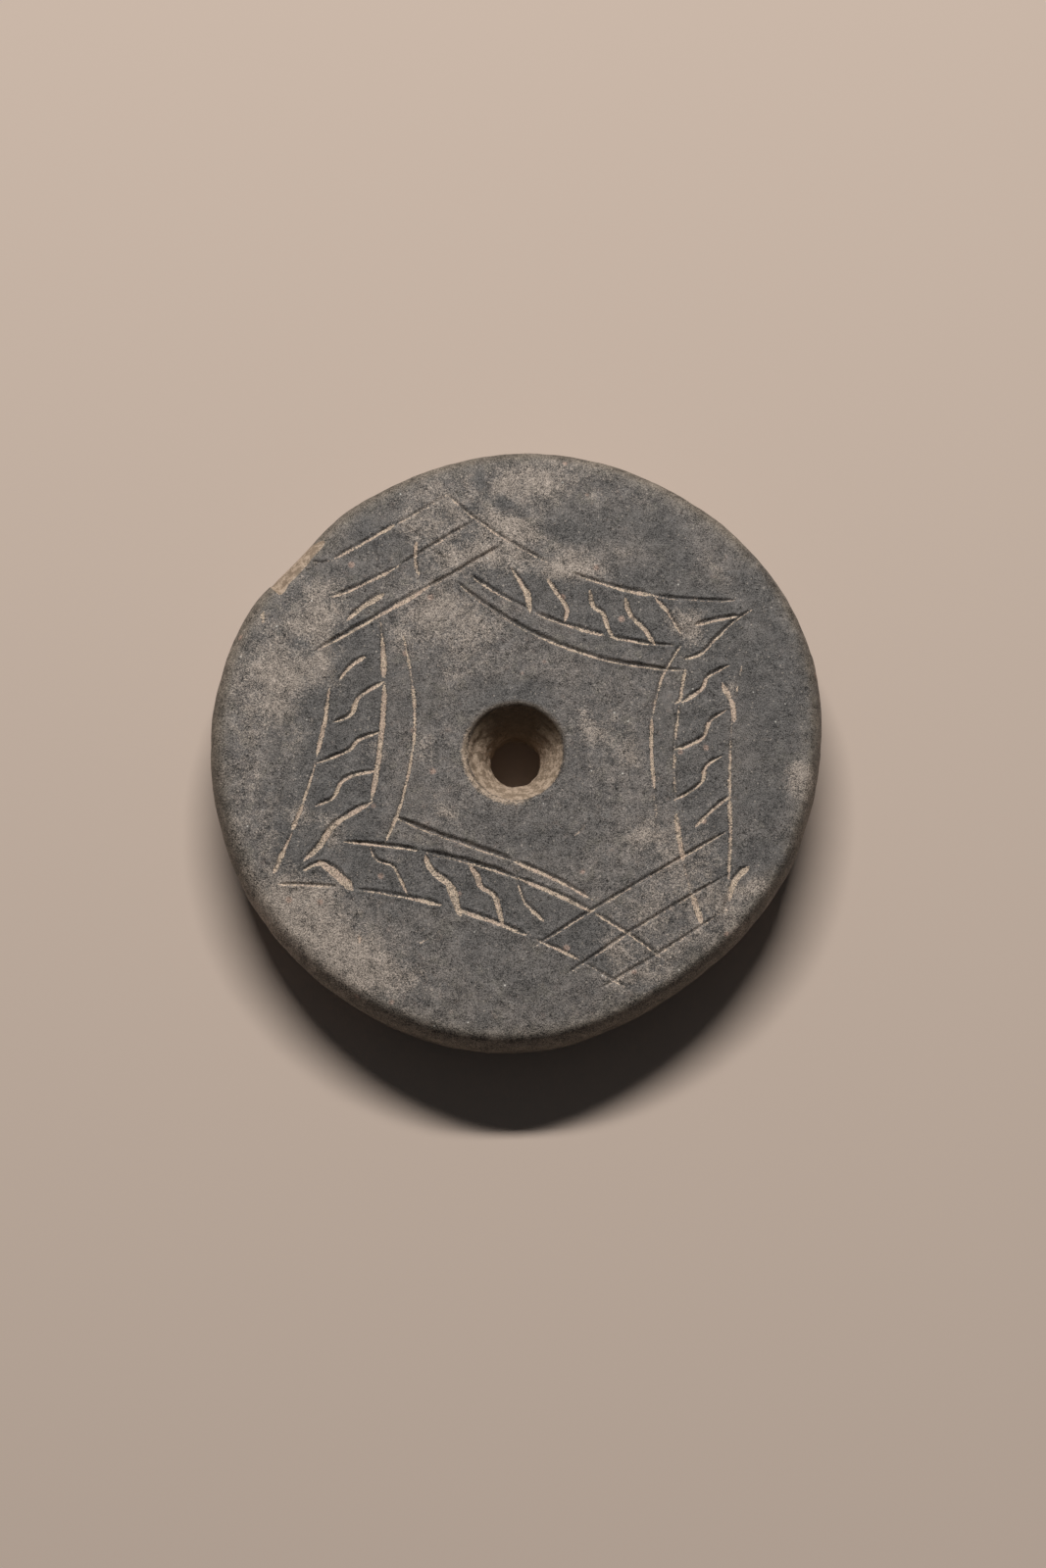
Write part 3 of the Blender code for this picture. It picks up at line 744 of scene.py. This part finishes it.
# The two faces as meshes. Each is a square lattice bent into a ring, from the hole's mouth out to the edge.
# The incised face's cells are halved once near the cuts and the hole's rim, and twice where the cuts are.
RINGS = 58
RIM_RING = 10
FINE_RIM_RINGS = 3
FINE = 4
FACE_HALF = RINGS * FINE
FACE_HOLE = RIM_RING * FINE
COLUMNS = 8 * RINGS
HALVED_ONCE_WITHIN = 0.86 * MM
HALVED_TWICE_WITHIN = 0.40 * MM

UNDERSIDE_CELL = 2
MOUTH_RING = 20
MOUTH_COLUMNS = 8 * MOUTH_RING
UNDERSIDE_MOUTH_RADIUS = 4.3 * MM
UNDERSIDE_RISE = 0.10 * MM
UNDERSIDE_HILL_SIZE = 5.0 * MM
UNDERSIDE_LEVEL = 0.6

# A face's mesh: its points, their numbers by lattice place, and its faces as corner numbers in one row with
# the count of each.
Face = namedtuple("Face", "points numbers loops counts")


def lattice_angle(a, b):
    """The direction of a lattice place: on each square ring the places are evenly spaced in angle."""
    flat = np.abs(a) > np.abs(b)
    side = np.pi / 4 * b / np.where(flat, a, 1) + np.where(a < 0, np.pi, 0)
    end = np.pi / 2 - np.pi / 4 * a / np.where(b == 0, 1, b) + np.where(b < 0, np.pi, 0)
    return np.where(flat, side, end) % (2 * np.pi)


def square_walk(half):
    """The lattice places round one square ring, from direction 0: two triangle waves, clipped to the
    square."""
    turn = np.arange(8 * half) / half
    a = np.clip(np.abs(turn - 4) - 2, -1, 1)
    b = np.clip(np.abs((turn - 2) % 8 - 4) - 2, -1, 1)
    return np.rint(a * half).astype(int), np.rint(b * half).astype(int)


def lattice_cells(half, hole, cell):
    """Lower corners of the lattice's cells between the square ring of the hole and the outer one."""
    corner = np.arange(-half, half, cell)
    a, b = (grid.ravel() for grid in np.meshgrid(corner, corner, indexing="ij"))
    kept = np.maximum(np.abs(a + cell / 2), np.abs(b + cell / 2)) > hole
    return a[kept], b[kept]


def lattice_faces(half, a, b, cell, halvings, also_used=()):
    """Faces of the lattice, once each cell is halved 0, 1 or 2 times: a face takes in every used place on
    its edges, so no crack opens beside a finer cell. Returns the used places, their numbers by place, and
    the faces as corner numbers in one row with the count of each."""
    used = np.zeros((2 * half + 1, 2 * half + 1), bool)
    for ring_a, ring_b in also_used:
        used[ring_a + half, ring_b + half] = True
    groups = []
    for times in np.unique(halvings):
        size = cell >> times
        steps = np.arange(0, cell, size)
        shift_a, shift_b = (grid.ravel() for grid in np.meshgrid(steps, steps))
        chosen = halvings == times
        cell_a = (a[chosen][:, None] + shift_a).ravel() + half
        cell_b = (b[chosen][:, None] + shift_b).ravel() + half
        for corner_a, corner_b in ((0, 0), (size, 0), (size, size), (0, size)):
            used[cell_a + corner_a, cell_b + corner_b] = True
        groups.append((size, cell_a, cell_b))
    number = np.full(used.shape, -1)
    number[used] = np.arange(used.sum())
    loops, counts = [], []
    for size, cell_a, cell_b in groups:
        run = np.arange(size)
        rest = np.full(size, size)
        edge_a = np.concatenate((run, rest, rest - run, 0 * run))
        edge_b = np.concatenate((0 * run, run, rest, rest - run))
        around = number[cell_a[:, None] + edge_a, cell_b[:, None] + edge_b]
        loops.append(around[around >= 0])
        counts.append((around >= 0).sum(axis=1))
    place_a, place_b = np.nonzero(used)
    return place_a - half, place_b - half, number, np.concatenate(loops), np.concatenate(counts)


def ring_numbers(numbers, half, ring):
    """The numbers of a lattice's points round one of its square rings."""
    walk_a, walk_b = square_walk(ring)
    return numbers[walk_a + half, walk_b + half]


def ring_points(angle, radius, height, centre=(0.0, 0.0)):
    """Points at an angle and a radius round a centre, at a height: x is r cos a, and y is r sin a."""
    angle, radius, height = np.broadcast_arrays(angle, radius, height)
    x = centre[0] + radius * np.cos(angle)
    y = centre[1] + radius * np.sin(angle)
    return np.column_stack((x.ravel(), y.ravel(), height.ravel()))


def face_points(a, b, half, hole, rim_radius, height):
    """Places of a face: from the hole's rim to the side's edge, in the lattice place's own direction."""
    angle = lattice_angle(a, b)
    share = (np.maximum(np.abs(a), np.abs(b)) - hole) / (half - hole)
    rim = ring_points(angle, rim_radius, height, HOLE_CENTRE)
    edge = ring_points(angle, edge_radius(angle, height), height)
    return rim + (edge - rim) * share[:, None]


def incised_face(rim_radius):
    """The upper face: the lattice laid flat, raised by the unevenness and the cuts' lips and lowered by the
    cuts, then crowned and scarred. Returns it with its sediment, its bands' ground and its raw scar."""
    cuts = star_cuts()
    cell_a, cell_b = lattice_cells(FACE_HALF, FACE_HOLE, FINE)
    middle_a = cell_a + FINE / 2
    middle_b = cell_b + FINE / 2
    middle = face_points(middle_a, middle_b, FACE_HALF, FACE_HOLE, rim_radius, THICKNESS)
    clearance = carve(middle[:, :2], cuts)[3]
    ring = np.maximum(np.abs(middle_a), np.abs(middle_b)) / FINE
    once = (clearance < HALVED_ONCE_WITHIN) | (ring < RIM_RING + FINE_RIM_RINGS)
    twice = clearance < HALVED_TWICE_WITHIN
    halvings = once.astype(int) + twice
    a, b, numbers, loops, counts = lattice_faces(FACE_HALF, cell_a, cell_b, FINE, halvings)
    points = face_points(a, b, FACE_HALF, FACE_HOLE, rim_radius, THICKNESS)
    depth, lip, sediment, clearance = carve(points[:, :2], cuts)
    band = band_ground(points[:, :2])
    points[:, 2] += unevenness(points) + lip - depth
    points, scar = scarred(crowned(points))
    return Face(points, numbers, loops, counts), sediment, band, scar


def underside():
    """The lower face: a plain lattice, its hollows raised off the ground by the tops of some broad hills. Its
    faces are turned over, so that they look down."""
    cell_a, cell_b = lattice_cells(RINGS, MOUTH_RING, UNDERSIDE_CELL)
    used_rings = (square_walk(RINGS), square_walk(MOUTH_RING))
    halvings = np.zeros(len(cell_a), int)
    lattice = lattice_faces(RINGS, cell_a, cell_b, UNDERSIDE_CELL, halvings, used_rings)
    a, b, numbers, loops, counts = lattice
    points = face_points(a, b, RINGS, MOUTH_RING, UNDERSIDE_MOUTH_RADIUS, 0.0)
    rise = UNDERSIDE_LEVEL + hills(points, UNDERSIDE_HILL_SIZE, 21)
    points[:, 2] += UNDERSIDE_RISE * np.clip(rise, 0, 1)
    faces = np.split(loops, np.cumsum(counts)[:-1])
    return Face(points, numbers, np.concatenate([face[::-1] for face in faces]), counts)


# The side: rows of points from the shoulder down to the foot, closer together where the side curves most. The
# hand left it rougher than the faces, with broad dents and small ones.
SHOULDER_ROWS = 14
FOOT_ROWS = 12
SIDE_FADE = 3.2 * MM


def side_wall():
    """The side's points, row by row, and how far inside the raw scar each one is. The rows lie at the heights
    of evenly turned quarter ellipses. Their radius grows and shrinks with the dents, and their height shares
    the upper face's unevenness as far as the widest level."""
    angle = np.arange(COLUMNS) * 2 * np.pi / COLUMNS
    shoulder = np.sin(np.linspace(np.pi / 2, 0, SHOULDER_ROWS + 1)[1:])
    foot = np.cos(np.linspace(np.pi / 2, 0, FOOT_ROWS + 2)[1:-1])
    level = np.concatenate((
        WIDEST_LEVEL + (THICKNESS - WIDEST_LEVEL) * shoulder,
        WIDEST_LEVEL * (1 - foot),
    ))[:, None]
    points = ring_points(angle, edge_radius(angle, level), level)
    fade = np.clip((points[:, 2] - WIDEST_LEVEL) / (THICKNESS - WIDEST_LEVEL), 0, 1)
    dents = rolling(points, SIDE_HILLS) * (1 - fade**4)
    points[:, 2] += unevenness(points) * fade
    points[:, :2] *= 1 + (dents / RADIUS)[:, None]
    return scarred(crowned(points))


# The hole was drilled from both faces, a little off centre, and meets in a short throat. Its upper cone is
# worn and rough, with a rounded lip, a few rings left by the drill, and pits in its left side. Its raw clay
# shows tan, and painted shade darkens its upper half, the wall that faces away from the lamp.
LIP_WIDTH = 0.60 * MM
LIP_DROP = 0.65 * MM
LIP_TURN = 70.0
LIP_ROWS = 7
THROAT_RADIUS = 2.9 * MM
THROAT_LENGTH = 1.0 * MM
THROAT_ROWS = 4
COUNTERSINK_RADIUS = 5.95 * MM
COUNTERSINK_SHARE = 0.52
COUNTERSINK_ROWS = 27
LOWER_CONE_ROWS = 11
FLARE = 1.35

BORE_HILLS = (Hill(0.11, 1.5, 31), Hill(0.06, 0.6, 32), Hill(0.035, 0.3, 33))
BORE_ROUGH_BELOW = 0.9 * MM
DRILL_RING_DEPTH = 0.035 * MM
DRILL_RING_PITCH = 0.42 * MM

TAN_WITHIN = 5.55 * MM
TAN_FADE = 0.8 * MM
TAN_EDGE_HILLS = (Hill(0.22, 1.8, 41), Hill(0.12, 0.7, 42))
SMEAR_STRENGTH = 0.60
SMEAR_RADIUS = 5.9 * MM
SMEAR_WIDTH = 0.7 * MM
# Painted shade over the hole's upper half, which faces away from the lamp.
HOLE_SHADE_ABOVE = 0.6 * MM
HOLE_SHADE_STEP = 2.8 * MM
HOLE_SHADE_WITHIN = TAN_WITHIN + 0.3 * MM
HOLE_SHADE_FADE = 1.1 * MM
HOLE_SHADE_EDGE_HILLS = (Hill(0.5, 1.8, 43), Hill(0.3, 0.7, 44))


def hole_rows():
    """Radii and heights down the hole, between its two mouths: a rounded lip, the upper cone flared by a
    power of the height, the throat, and the lower cone. Returns the rim's radius too."""
    throat_top = THICKNESS - (THICKNESS - THROAT_LENGTH) * COUNTERSINK_SHARE
    throat_bottom = throat_top - THROAT_LENGTH
    turn = np.linspace(0, np.radians(LIP_TURN), LIP_ROWS + 1)[1:]
    lip_share = 1 - LIP_DROP / (THICKNESS - throat_top)
    cone_top = THROAT_RADIUS + (COUNTERSINK_RADIUS - THROAT_RADIUS) * lip_share**FLARE
    upper_share = np.linspace(lip_share, 0.04, COUNTERSINK_ROWS + 1)[1:]
    lower_share = np.linspace(0.08, 0.96, LOWER_CONE_ROWS)
    radius = np.concatenate((
        cone_top + LIP_WIDTH * (1 - np.sin(turn) / np.sin(turn[-1])),
        THROAT_RADIUS + (COUNTERSINK_RADIUS - THROAT_RADIUS) * upper_share**FLARE,
        np.full(THROAT_ROWS, THROAT_RADIUS),
        THROAT_RADIUS + (UNDERSIDE_MOUTH_RADIUS - THROAT_RADIUS) * lower_share**FLARE,
    ))
    height = np.concatenate((
        THICKNESS - LIP_DROP * (1 - np.cos(turn)) / (1 - np.cos(turn[-1])),
        throat_top + (THICKNESS - throat_top) * upper_share,
        np.linspace(throat_top, throat_bottom, THROAT_ROWS),
        throat_bottom * (1 - lower_share),
    ))
    return radius, height, cone_top + LIP_WIDTH


def bore_wall(radius, height):
    """The hole's points, row by row: rings at those radii and heights, roughened below the lip by hills that
    are twice as high on the left, and by the drill's rings, a sine of the height, on the right."""
    angle = np.arange(MOUTH_COLUMNS) * 2 * np.pi / MOUTH_COLUMNS
    points = ring_points(angle, radius[:, None], height[:, None], HOLE_CENTRE)
    outwards = np.tile(np.column_stack((np.cos(angle), np.sin(angle))), (len(radius), 1))
    sink = np.clip((THICKNESS - points[:, 2]) / BORE_ROUGH_BELOW, 0, 1)
    grain = rolling(points, BORE_HILLS) * (1 + np.clip(-outwards[:, 0], 0, 1) ** 4)
    rings = DRILL_RING_DEPTH * np.sin(2 * np.pi * points[:, 2] / DRILL_RING_PITCH)
    rings *= np.clip(0.5 + outwards[:, 0], 0, 1)
    points[:, :2] += outwards * ((grain + rings) * sink)[:, None]
    points[:, 2] += unevenness(points) * (1 - sink)
    return points


def hole_tan(points):
    """Where the hole's raw tan shows: within a radius that wanders, and as a thin smear round its lower
    left."""
    away = points[:, :2] - HOLE_CENTRE
    radius = np.hypot(*away.T)
    inside = np.clip(0.5 + (TAN_WITHIN + rolling(points, TAN_EDGE_HILLS) - radius) / TAN_FADE, 0, 1)
    lower_left = np.clip(0.3 - (away[:, 0] * 0.8 + away[:, 1] * 0.6) / radius, 0, 1)
    smear = SMEAR_STRENGTH * lower_left * np.exp(-(((radius - SMEAR_RADIUS) / SMEAR_WIDTH) ** 2))
    return np.maximum(inside, smear)


def hole_painted_shade(points):
    """Where painted shade darkens the hole: over its upper half, whose wall faces away from the lamp, in a
    smooth step across it, out to just past its rim."""
    away = points[:, :2] - HOLE_CENTRE
    above = away[:, 1] + rolling(points, HOLE_SHADE_EDGE_HILLS) - HOLE_SHADE_ABOVE
    across = np.clip(above / HOLE_SHADE_STEP, 0, 1)
    inside = np.clip(0.5 + (HOLE_SHADE_WITHIN - np.hypot(*away.T)) / HOLE_SHADE_FADE, 0, 1)
    return across * across * (3 - 2 * across) * inside


# The whole disc as one closed mesh: the two faces, the side and the hole, joined row by row by strips, with
# what the clay's finish needs to know of each point kept beside it.
def stitched(upper, lower, inwards=False):
    """Faces between two closed rows of corner numbers, the upper one perhaps with more corners, where -1
    marks a place that isn't used. They face outwards when the rows run anticlockwise, or inwards for a
    hole."""
    per = len(upper) // len(lower)
    wrapped = np.append(upper, upper[0])
    columns = np.arange(len(lower))
    top = wrapped[columns[:, None] * per + np.arange(per, -1, -1)]
    around = np.column_stack((lower, np.roll(lower, -1), top))
    if inwards:
        around = around[:, ::-1]
    return around[around >= 0], (around >= 0).sum(axis=1)


def strips(walls, inwards=False):
    """The strips between each two neighbours in a list of closed rows, top to bottom."""
    return [stitched(upper, lower, inwards) for upper, lower in zip(walls, walls[1:])]


def whorl_mesh():
    """The disc's mesh: the points of its four parts one after another, the faces' own polygons, and strips
    from the face's edge down the side, and from the hole's rim down the hole, to the underside."""
    row_radius, row_height, rim_radius = hole_rows()
    top, sediment, band, top_scar = incised_face(rim_radius)
    side, side_scar = side_wall()
    under = underside()
    bore = bore_wall(row_radius, row_height)

    parts = (top.points, side, under.points, bore)
    points = np.concatenate(parts)
    starts = np.cumsum([0] + [len(part) for part in parts])
    side_rows = (np.arange(len(side)) + starts[1]).reshape(-1, COLUMNS)
    bore_rows = (np.arange(len(bore)) + starts[3]).reshape(-1, MOUTH_COLUMNS)
    under_numbers = np.where(under.numbers >= 0, under.numbers + starts[2], -1)
    outer_edge = ring_numbers(top.numbers, FACE_HALF, FACE_HALF)
    rim_edge = ring_numbers(top.numbers, FACE_HALF, FACE_HOLE)
    under_edge = ring_numbers(under_numbers, RINGS, RINGS)
    mouth_edge = ring_numbers(under_numbers, RINGS, MOUTH_RING)
    faces = [(top.loops, top.counts), (under.loops + starts[2], under.counts)]
    faces += strips([outer_edge, *side_rows, under_edge])
    faces += strips([rim_edge, *bore_rows, mouth_edge], inwards=True)
    loops = np.concatenate([face[0] for face in faces])
    counts = np.concatenate([face[1] for face in faces])

    mesh = bpy.data.meshes.new("whorl_clay")
    mesh.vertices.add(len(points))
    mesh.vertices.foreach_set("co", points.ravel())
    mesh.loops.add(len(loops))
    mesh.loops.foreach_set("vertex_index", loops)
    mesh.polygons.add(len(counts))
    mesh.polygons.foreach_set("loop_start", np.cumsum(counts) - counts)
    mesh.polygons.foreach_set("use_smooth", np.ones(len(counts), bool))
    mesh.update(calc_edges=True)
    mesh.validate(verbose=True)

    def keep(name, values):
        """Keeps one number for each point, under a name that the clay's material reads."""
        attribute = mesh.attributes.new(name, "FLOAT", "POINT")
        attribute.data.foreach_set("value", values.astype(np.float32))

    def on_top(values):
        """The upper face's values, and 0 on the other parts."""
        return np.concatenate((values, np.zeros(len(points) - len(values))))

    on_side = np.zeros(len(points), bool)
    on_side[starts[1]:starts[2]] = True
    on_underside = np.zeros(len(points), bool)
    on_underside[starts[2]:starts[3]] = True
    outside = np.arange(len(points)) < starts[2]
    near_hole = ~on_side & (points[:, 2] > 0.5 * MM)

    warp = np.column_stack([rolling(points, rows) for rows in PATCH_WARPS])
    spots = points[:, :2] + warp
    soot = patchy(spots, SOOT_PATCHES) * outside
    edge = edge_radius(np.arctan2(points[:, 1], points[:, 0]), WIDEST_LEVEL)
    inwards = edge - np.hypot(points[:, 0], points[:, 1])
    scar = np.full(len(points), -MM)
    scar[:starts[2]] = np.concatenate((top_scar, side_scar))
    keep("sediment", on_top(sediment))
    keep("band", on_top(band))
    keep("soot", soot)
    keep("soil", patchy(spots, SOIL_PATCHES) * (1 - SOOT_OVER_SOIL * soot) * outside)
    # The side's mask, for its browner clay and its painted light.
    keep("side", np.clip(1 - inwards / SIDE_FADE, 0, 1) + on_underside)
    keep("raw", hole_tan(points) * near_hole)
    # The hole's upper half, darkened by painted shade.
    keep("painted_hole_shade", hole_painted_shade(points) * near_hole)
    keep("scar", np.clip(scar / MM, -1, 1))
    return mesh


mesh = whorl_mesh()
whorl = bpy.data.objects.new("whorl_fired", mesh)
bpy.context.scene.collection.objects.link(whorl)


# The fired clay's finish: grey, burnished a little and clouded by the fire, with lighter soil clinging to it.
# The sediment in the cuts is pale, and so is the raw clay of the hole and of the scar.
class Shade:
    """A socket that can stand in a Python expression: arithmetic on it adds Math nodes to its tree."""

    def __init__(self, socket):
        self.socket = socket

    def node(self, kind, settings, values, output=0):
        """Adds a node: its settings first, then the values or links of its sockets."""
        tree = self.socket.id_data
        node = tree.nodes.new(kind)
        for name, value in settings.items():
            setattr(node, name, value)
        for name, value in values.items():
            if isinstance(value, Shade):
                tree.links.new(value.socket, node.inputs[name])
            else:
                node.inputs[name].default_value = value
        return Shade(node.outputs[output])

    def math(self, operation, first, second):
        """A Math node on two values, of which either may be a number."""
        return self.node("ShaderNodeMath", {"operation": operation}, {0: first, 1: second})

    # The operators that are used, each with its reflected form for a number on its left.
    def __add__(self, other):
        return self.math("ADD", self, other)

    def __sub__(self, other):
        return self.math("SUBTRACT", self, other)

    def __rsub__(self, other):
        return self.math("SUBTRACT", other, self)

    def __mul__(self, other):
        return self.math("MULTIPLY", self, other)

    __radd__ = __add__
    __rmul__ = __mul__

    def moved(self, distance):
        """These coordinates moved along by a distance, so that a second noise on them differs."""
        values = {0: self, 1: (distance, 2 * distance, 3 * distance)}
        return self.node("ShaderNodeVectorMath", {"operation": "ADD"}, values)

    def scaled(self, factor):
        """This colour times a number."""
        return self.node("ShaderNodeVectorMath", {"operation": "SCALE"}, {0: self, "Scale": factor})

    def noise(self, size, detail=3.0, roughness=0.55):
        """Noise from 0 to 1 on these coordinates, with features of that size."""
        values = {"Vector": self, "Scale": 1 / size, "Detail": detail, "Roughness": roughness}
        return self.node("ShaderNodeTexNoise", {}, values)

    def dots(self, size):
        """The distance to the nearest of some random points about that size apart, in shares of it."""
        return self.node("ShaderNodeTexVoronoi", {}, {"Vector": self, "Scale": 1 / size}, "Distance")

    def step(self, low, high):
        """A smooth step from 0 to 1 as this value goes from low to high."""
        values = {"Value": self, "From Min": low, "From Max": high}
        return self.node("ShaderNodeMapRange", {"interpolation_type": "SMOOTHSTEP"}, values)

    def over(self, below, colour):
        """The colour laid over the one below, by this value."""
        return self.node("ShaderNodeMix", {"data_type": "RGBA"}, {0: self, 6: below, 7: colour}, 2)


CLAY_DARK = (0.119, 0.108, 0.101, 1.0)
CLAY_LIGHT = (0.160, 0.141, 0.128, 1.0)
BLUISH = (0.112, 0.114, 0.118, 1.0)
OLIVE = (0.142, 0.130, 0.098, 1.0)
PINKISH = (0.200, 0.155, 0.132, 1.0)
SOOT = (0.087, 0.082, 0.079, 1.0)
SOIL = (0.312, 0.262, 0.222, 1.0)
SPECK = (0.330, 0.285, 0.245, 1.0)
PIT_SHADE = (0.045, 0.038, 0.032, 1.0)
SEDIMENT = (0.510, 0.405, 0.310, 1.0)
SEDIMENT_PINK = (0.450, 0.335, 0.265, 1.0)
SEDIMENT_DIRTY = (0.220, 0.178, 0.140, 1.0)
RAW_CLAY = (0.480, 0.370, 0.280, 1.0)
RAW_CLAY_DARK = (0.260, 0.195, 0.140, 1.0)
HOLE_SHADE = (0.105, 0.073, 0.044, 1.0)
WHITE_FLECK = (0.500, 0.475, 0.435, 1.0)
PINK_FLECK = (0.420, 0.285, 0.225, 1.0)
# The side's colour: browner clay, also lightened as painted light for the light the side catches.
SIDE_CLAY_AND_PAINTED_LIGHT = (0.165, 0.138, 0.108, 1.0)

CLOUD_SIZE = 7.0 * MM
MOTTLE_SIZE = 2.4 * MM
TONE_SIZE = 2.0 * MM
HUE_SIZE = 1.6 * MM
PINK_SIZE = 1.1 * MM
BLOTCH_SIZE = 0.8 * MM
GRAIN_SIZE = 0.2 * MM
DUST_SIZE = 0.1 * MM
SPECK_SPACING = 0.8 * MM
PIT_SPACING = 1.1 * MM
WHITE_FLECK_SPACING = 2.6 * MM
PINK_FLECK_SPACING = 6.0 * MM
BUMP_HEIGHT = 0.06 * MM
CLAY_ROUGHNESS = 0.62
CLAY_SHEEN = 0.35


def clay_material():
    """The clay's material: one colour laid over another, from the fired surface to the sediment, each by a
    mask made of noise and of the numbers kept for each point. Every mask and noise runs from 0 to 1."""
    material = bpy.data.materials.new("fired_clay_finish")
    material.use_nodes = True
    tree = material.node_tree
    shader = tree.nodes["Principled BSDF"]
    place = Shade(tree.nodes.new("ShaderNodeTexCoord").outputs["Object"])

    def kept(name):
        """The number that the mesh keeps for each point under that name."""
        return place.node("ShaderNodeAttribute", {"attribute_name": name}, {}, "Fac")

    # Noise from broad to fine.
    clouds = place.noise(CLOUD_SIZE, 3.0)
    mottle = place.noise(MOTTLE_SIZE, 3.0)
    hue = place.moved(7.0 * MM).noise(HUE_SIZE, 3.0)
    blotches = place.noise(BLOTCH_SIZE, 2.0)
    grain = place.noise(GRAIN_SIZE, 3.0, 0.65)
    dust = place.noise(DUST_SIZE, 2.0, 0.7)
    ragged = (mottle - 0.5) * 0.7 + (blotches - 0.5) * 0.6 + (grain - 0.5) * 1.0

    # The fired surface: clouds of two greys, with bluish, olive and pinkish tints.
    shade = clouds + (mottle - 0.5) * 0.6 + (blotches - 0.5) * 0.4
    colour = shade.step(0.30, 0.70).over(CLAY_DARK, CLAY_LIGHT)
    colour = (hue.step(0.56, 0.75) * 0.2).over(colour, BLUISH)
    colour = (hue.step(0.47, 0.32) * 0.25).over(colour, OLIVE)
    pink = place.moved(3.0 * MM).noise(PINK_SIZE)
    colour = (pink.step(0.58, 0.72) * 0.4).over(colour, PINKISH)

    # The browner side, also lightened as painted light for the light the side catches, the darker ground of
    # the bands, the soot and the soil.
    colour = (kept("side").step(0.0, 1.0) * 0.75).over(colour, SIDE_CLAY_AND_PAINTED_LIGHT)
    colour = ((kept("band") + ragged * 0.4).step(0.1, 0.9) * 0.75).over(colour, SOOT)
    colour = ((kept("soot") + ragged).step(0.15, 0.8) * 0.85).over(colour, SOOT)
    colour = ((kept("soil") + ragged).step(0.15, 0.8) * 0.85).over(colour, SOIL)

    # Pale specks, dark pits painted with the shade inside them, a few flecks, and a fine grain over it all.
    speck = (place.dots(SPECK_SPACING) + (grain - 0.5) * 0.25).step(0.17, 0.10)
    colour = (speck * 0.6).over(colour, SPECK)
    # Painted shade: the pits, which the bump below also sinks, are darkened in colour.
    pit = (place.moved(5.0 * MM).dots(PIT_SPACING) + (grain - 0.5) * 0.25).step(0.15, 0.08)
    colour = (pit * 0.45).over(colour, PIT_SHADE)
    white = place.moved(11.0 * MM).dots(WHITE_FLECK_SPACING) + (grain - 0.5) * 0.05
    colour = (white.step(0.055, 0.035) * 0.8).over(colour, WHITE_FLECK)
    pink = place.moved(17.0 * MM).dots(PINK_FLECK_SPACING) + (grain - 0.5) * 0.08
    colour = (pink.step(0.085, 0.04) * 0.6).over(colour, PINK_FLECK)
    tone = place.noise(TONE_SIZE, 4.0, 0.92)
    tone = (tone - 0.5) * 3.5 + (grain - 0.5) * 2.2 + (dust - 0.5) * 5.0 + 1
    colour = colour.scaled(tone)

    # The raw clay in the hole and on the scar, and painted shade over the hole's upper half.
    raw = (kept("raw") + (grain - 0.5) * 0.8).step(0.35, 0.65)
    raw_colour = (blotches + (grain - 0.5) * 0.6).step(0.42, 0.6).over(RAW_CLAY_DARK, RAW_CLAY)
    colour = raw.over(colour, raw_colour)
    scar = (kept("scar") + (blotches - 0.5) * 0.15).step(0.0, 0.05)
    colour = scar.over(colour, raw_colour)
    # Painted shade: the hole's upper half darkened where the lamp doesn't reach.
    colour = (kept("painted_hole_shade") * 0.9).over(colour, HOLE_SHADE)

    # The sediment in the cuts.
    filled = (kept("sediment") + (blotches - 0.5) * 0.6 + (grain - 0.5) * 1.3).step(0.30, 0.60)
    sediment = (grain + (blotches - 0.5) * 0.8).step(0.34, 0.58).over(SEDIMENT_DIRTY, SEDIMENT)
    sediment = (hue.step(0.45, 0.6) * 0.6).over(sediment, SEDIMENT_PINK)
    colour = filled.over(colour, sediment.scaled((dust - 0.5) * 3.5 + (grain - 0.5) * 1.6 + 1))
    tree.links.new(colour.socket, shader.inputs["Base Color"])

    # A low relief of grain and blotches, with the pits sunk into it.
    height = grain + blotches - pit
    bump = place.node("ShaderNodeBump", {}, {"Height": height, "Distance": BUMP_HEIGHT})
    tree.links.new(bump.socket, shader.inputs["Normal"])
    shader.inputs["Roughness"].default_value = CLAY_ROUGHNESS
    shader.inputs["Specular IOR Level"].default_value = CLAY_SHEEN
    return material


mesh.materials.append(clay_material())
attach(whorl, "root")
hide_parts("whorl")
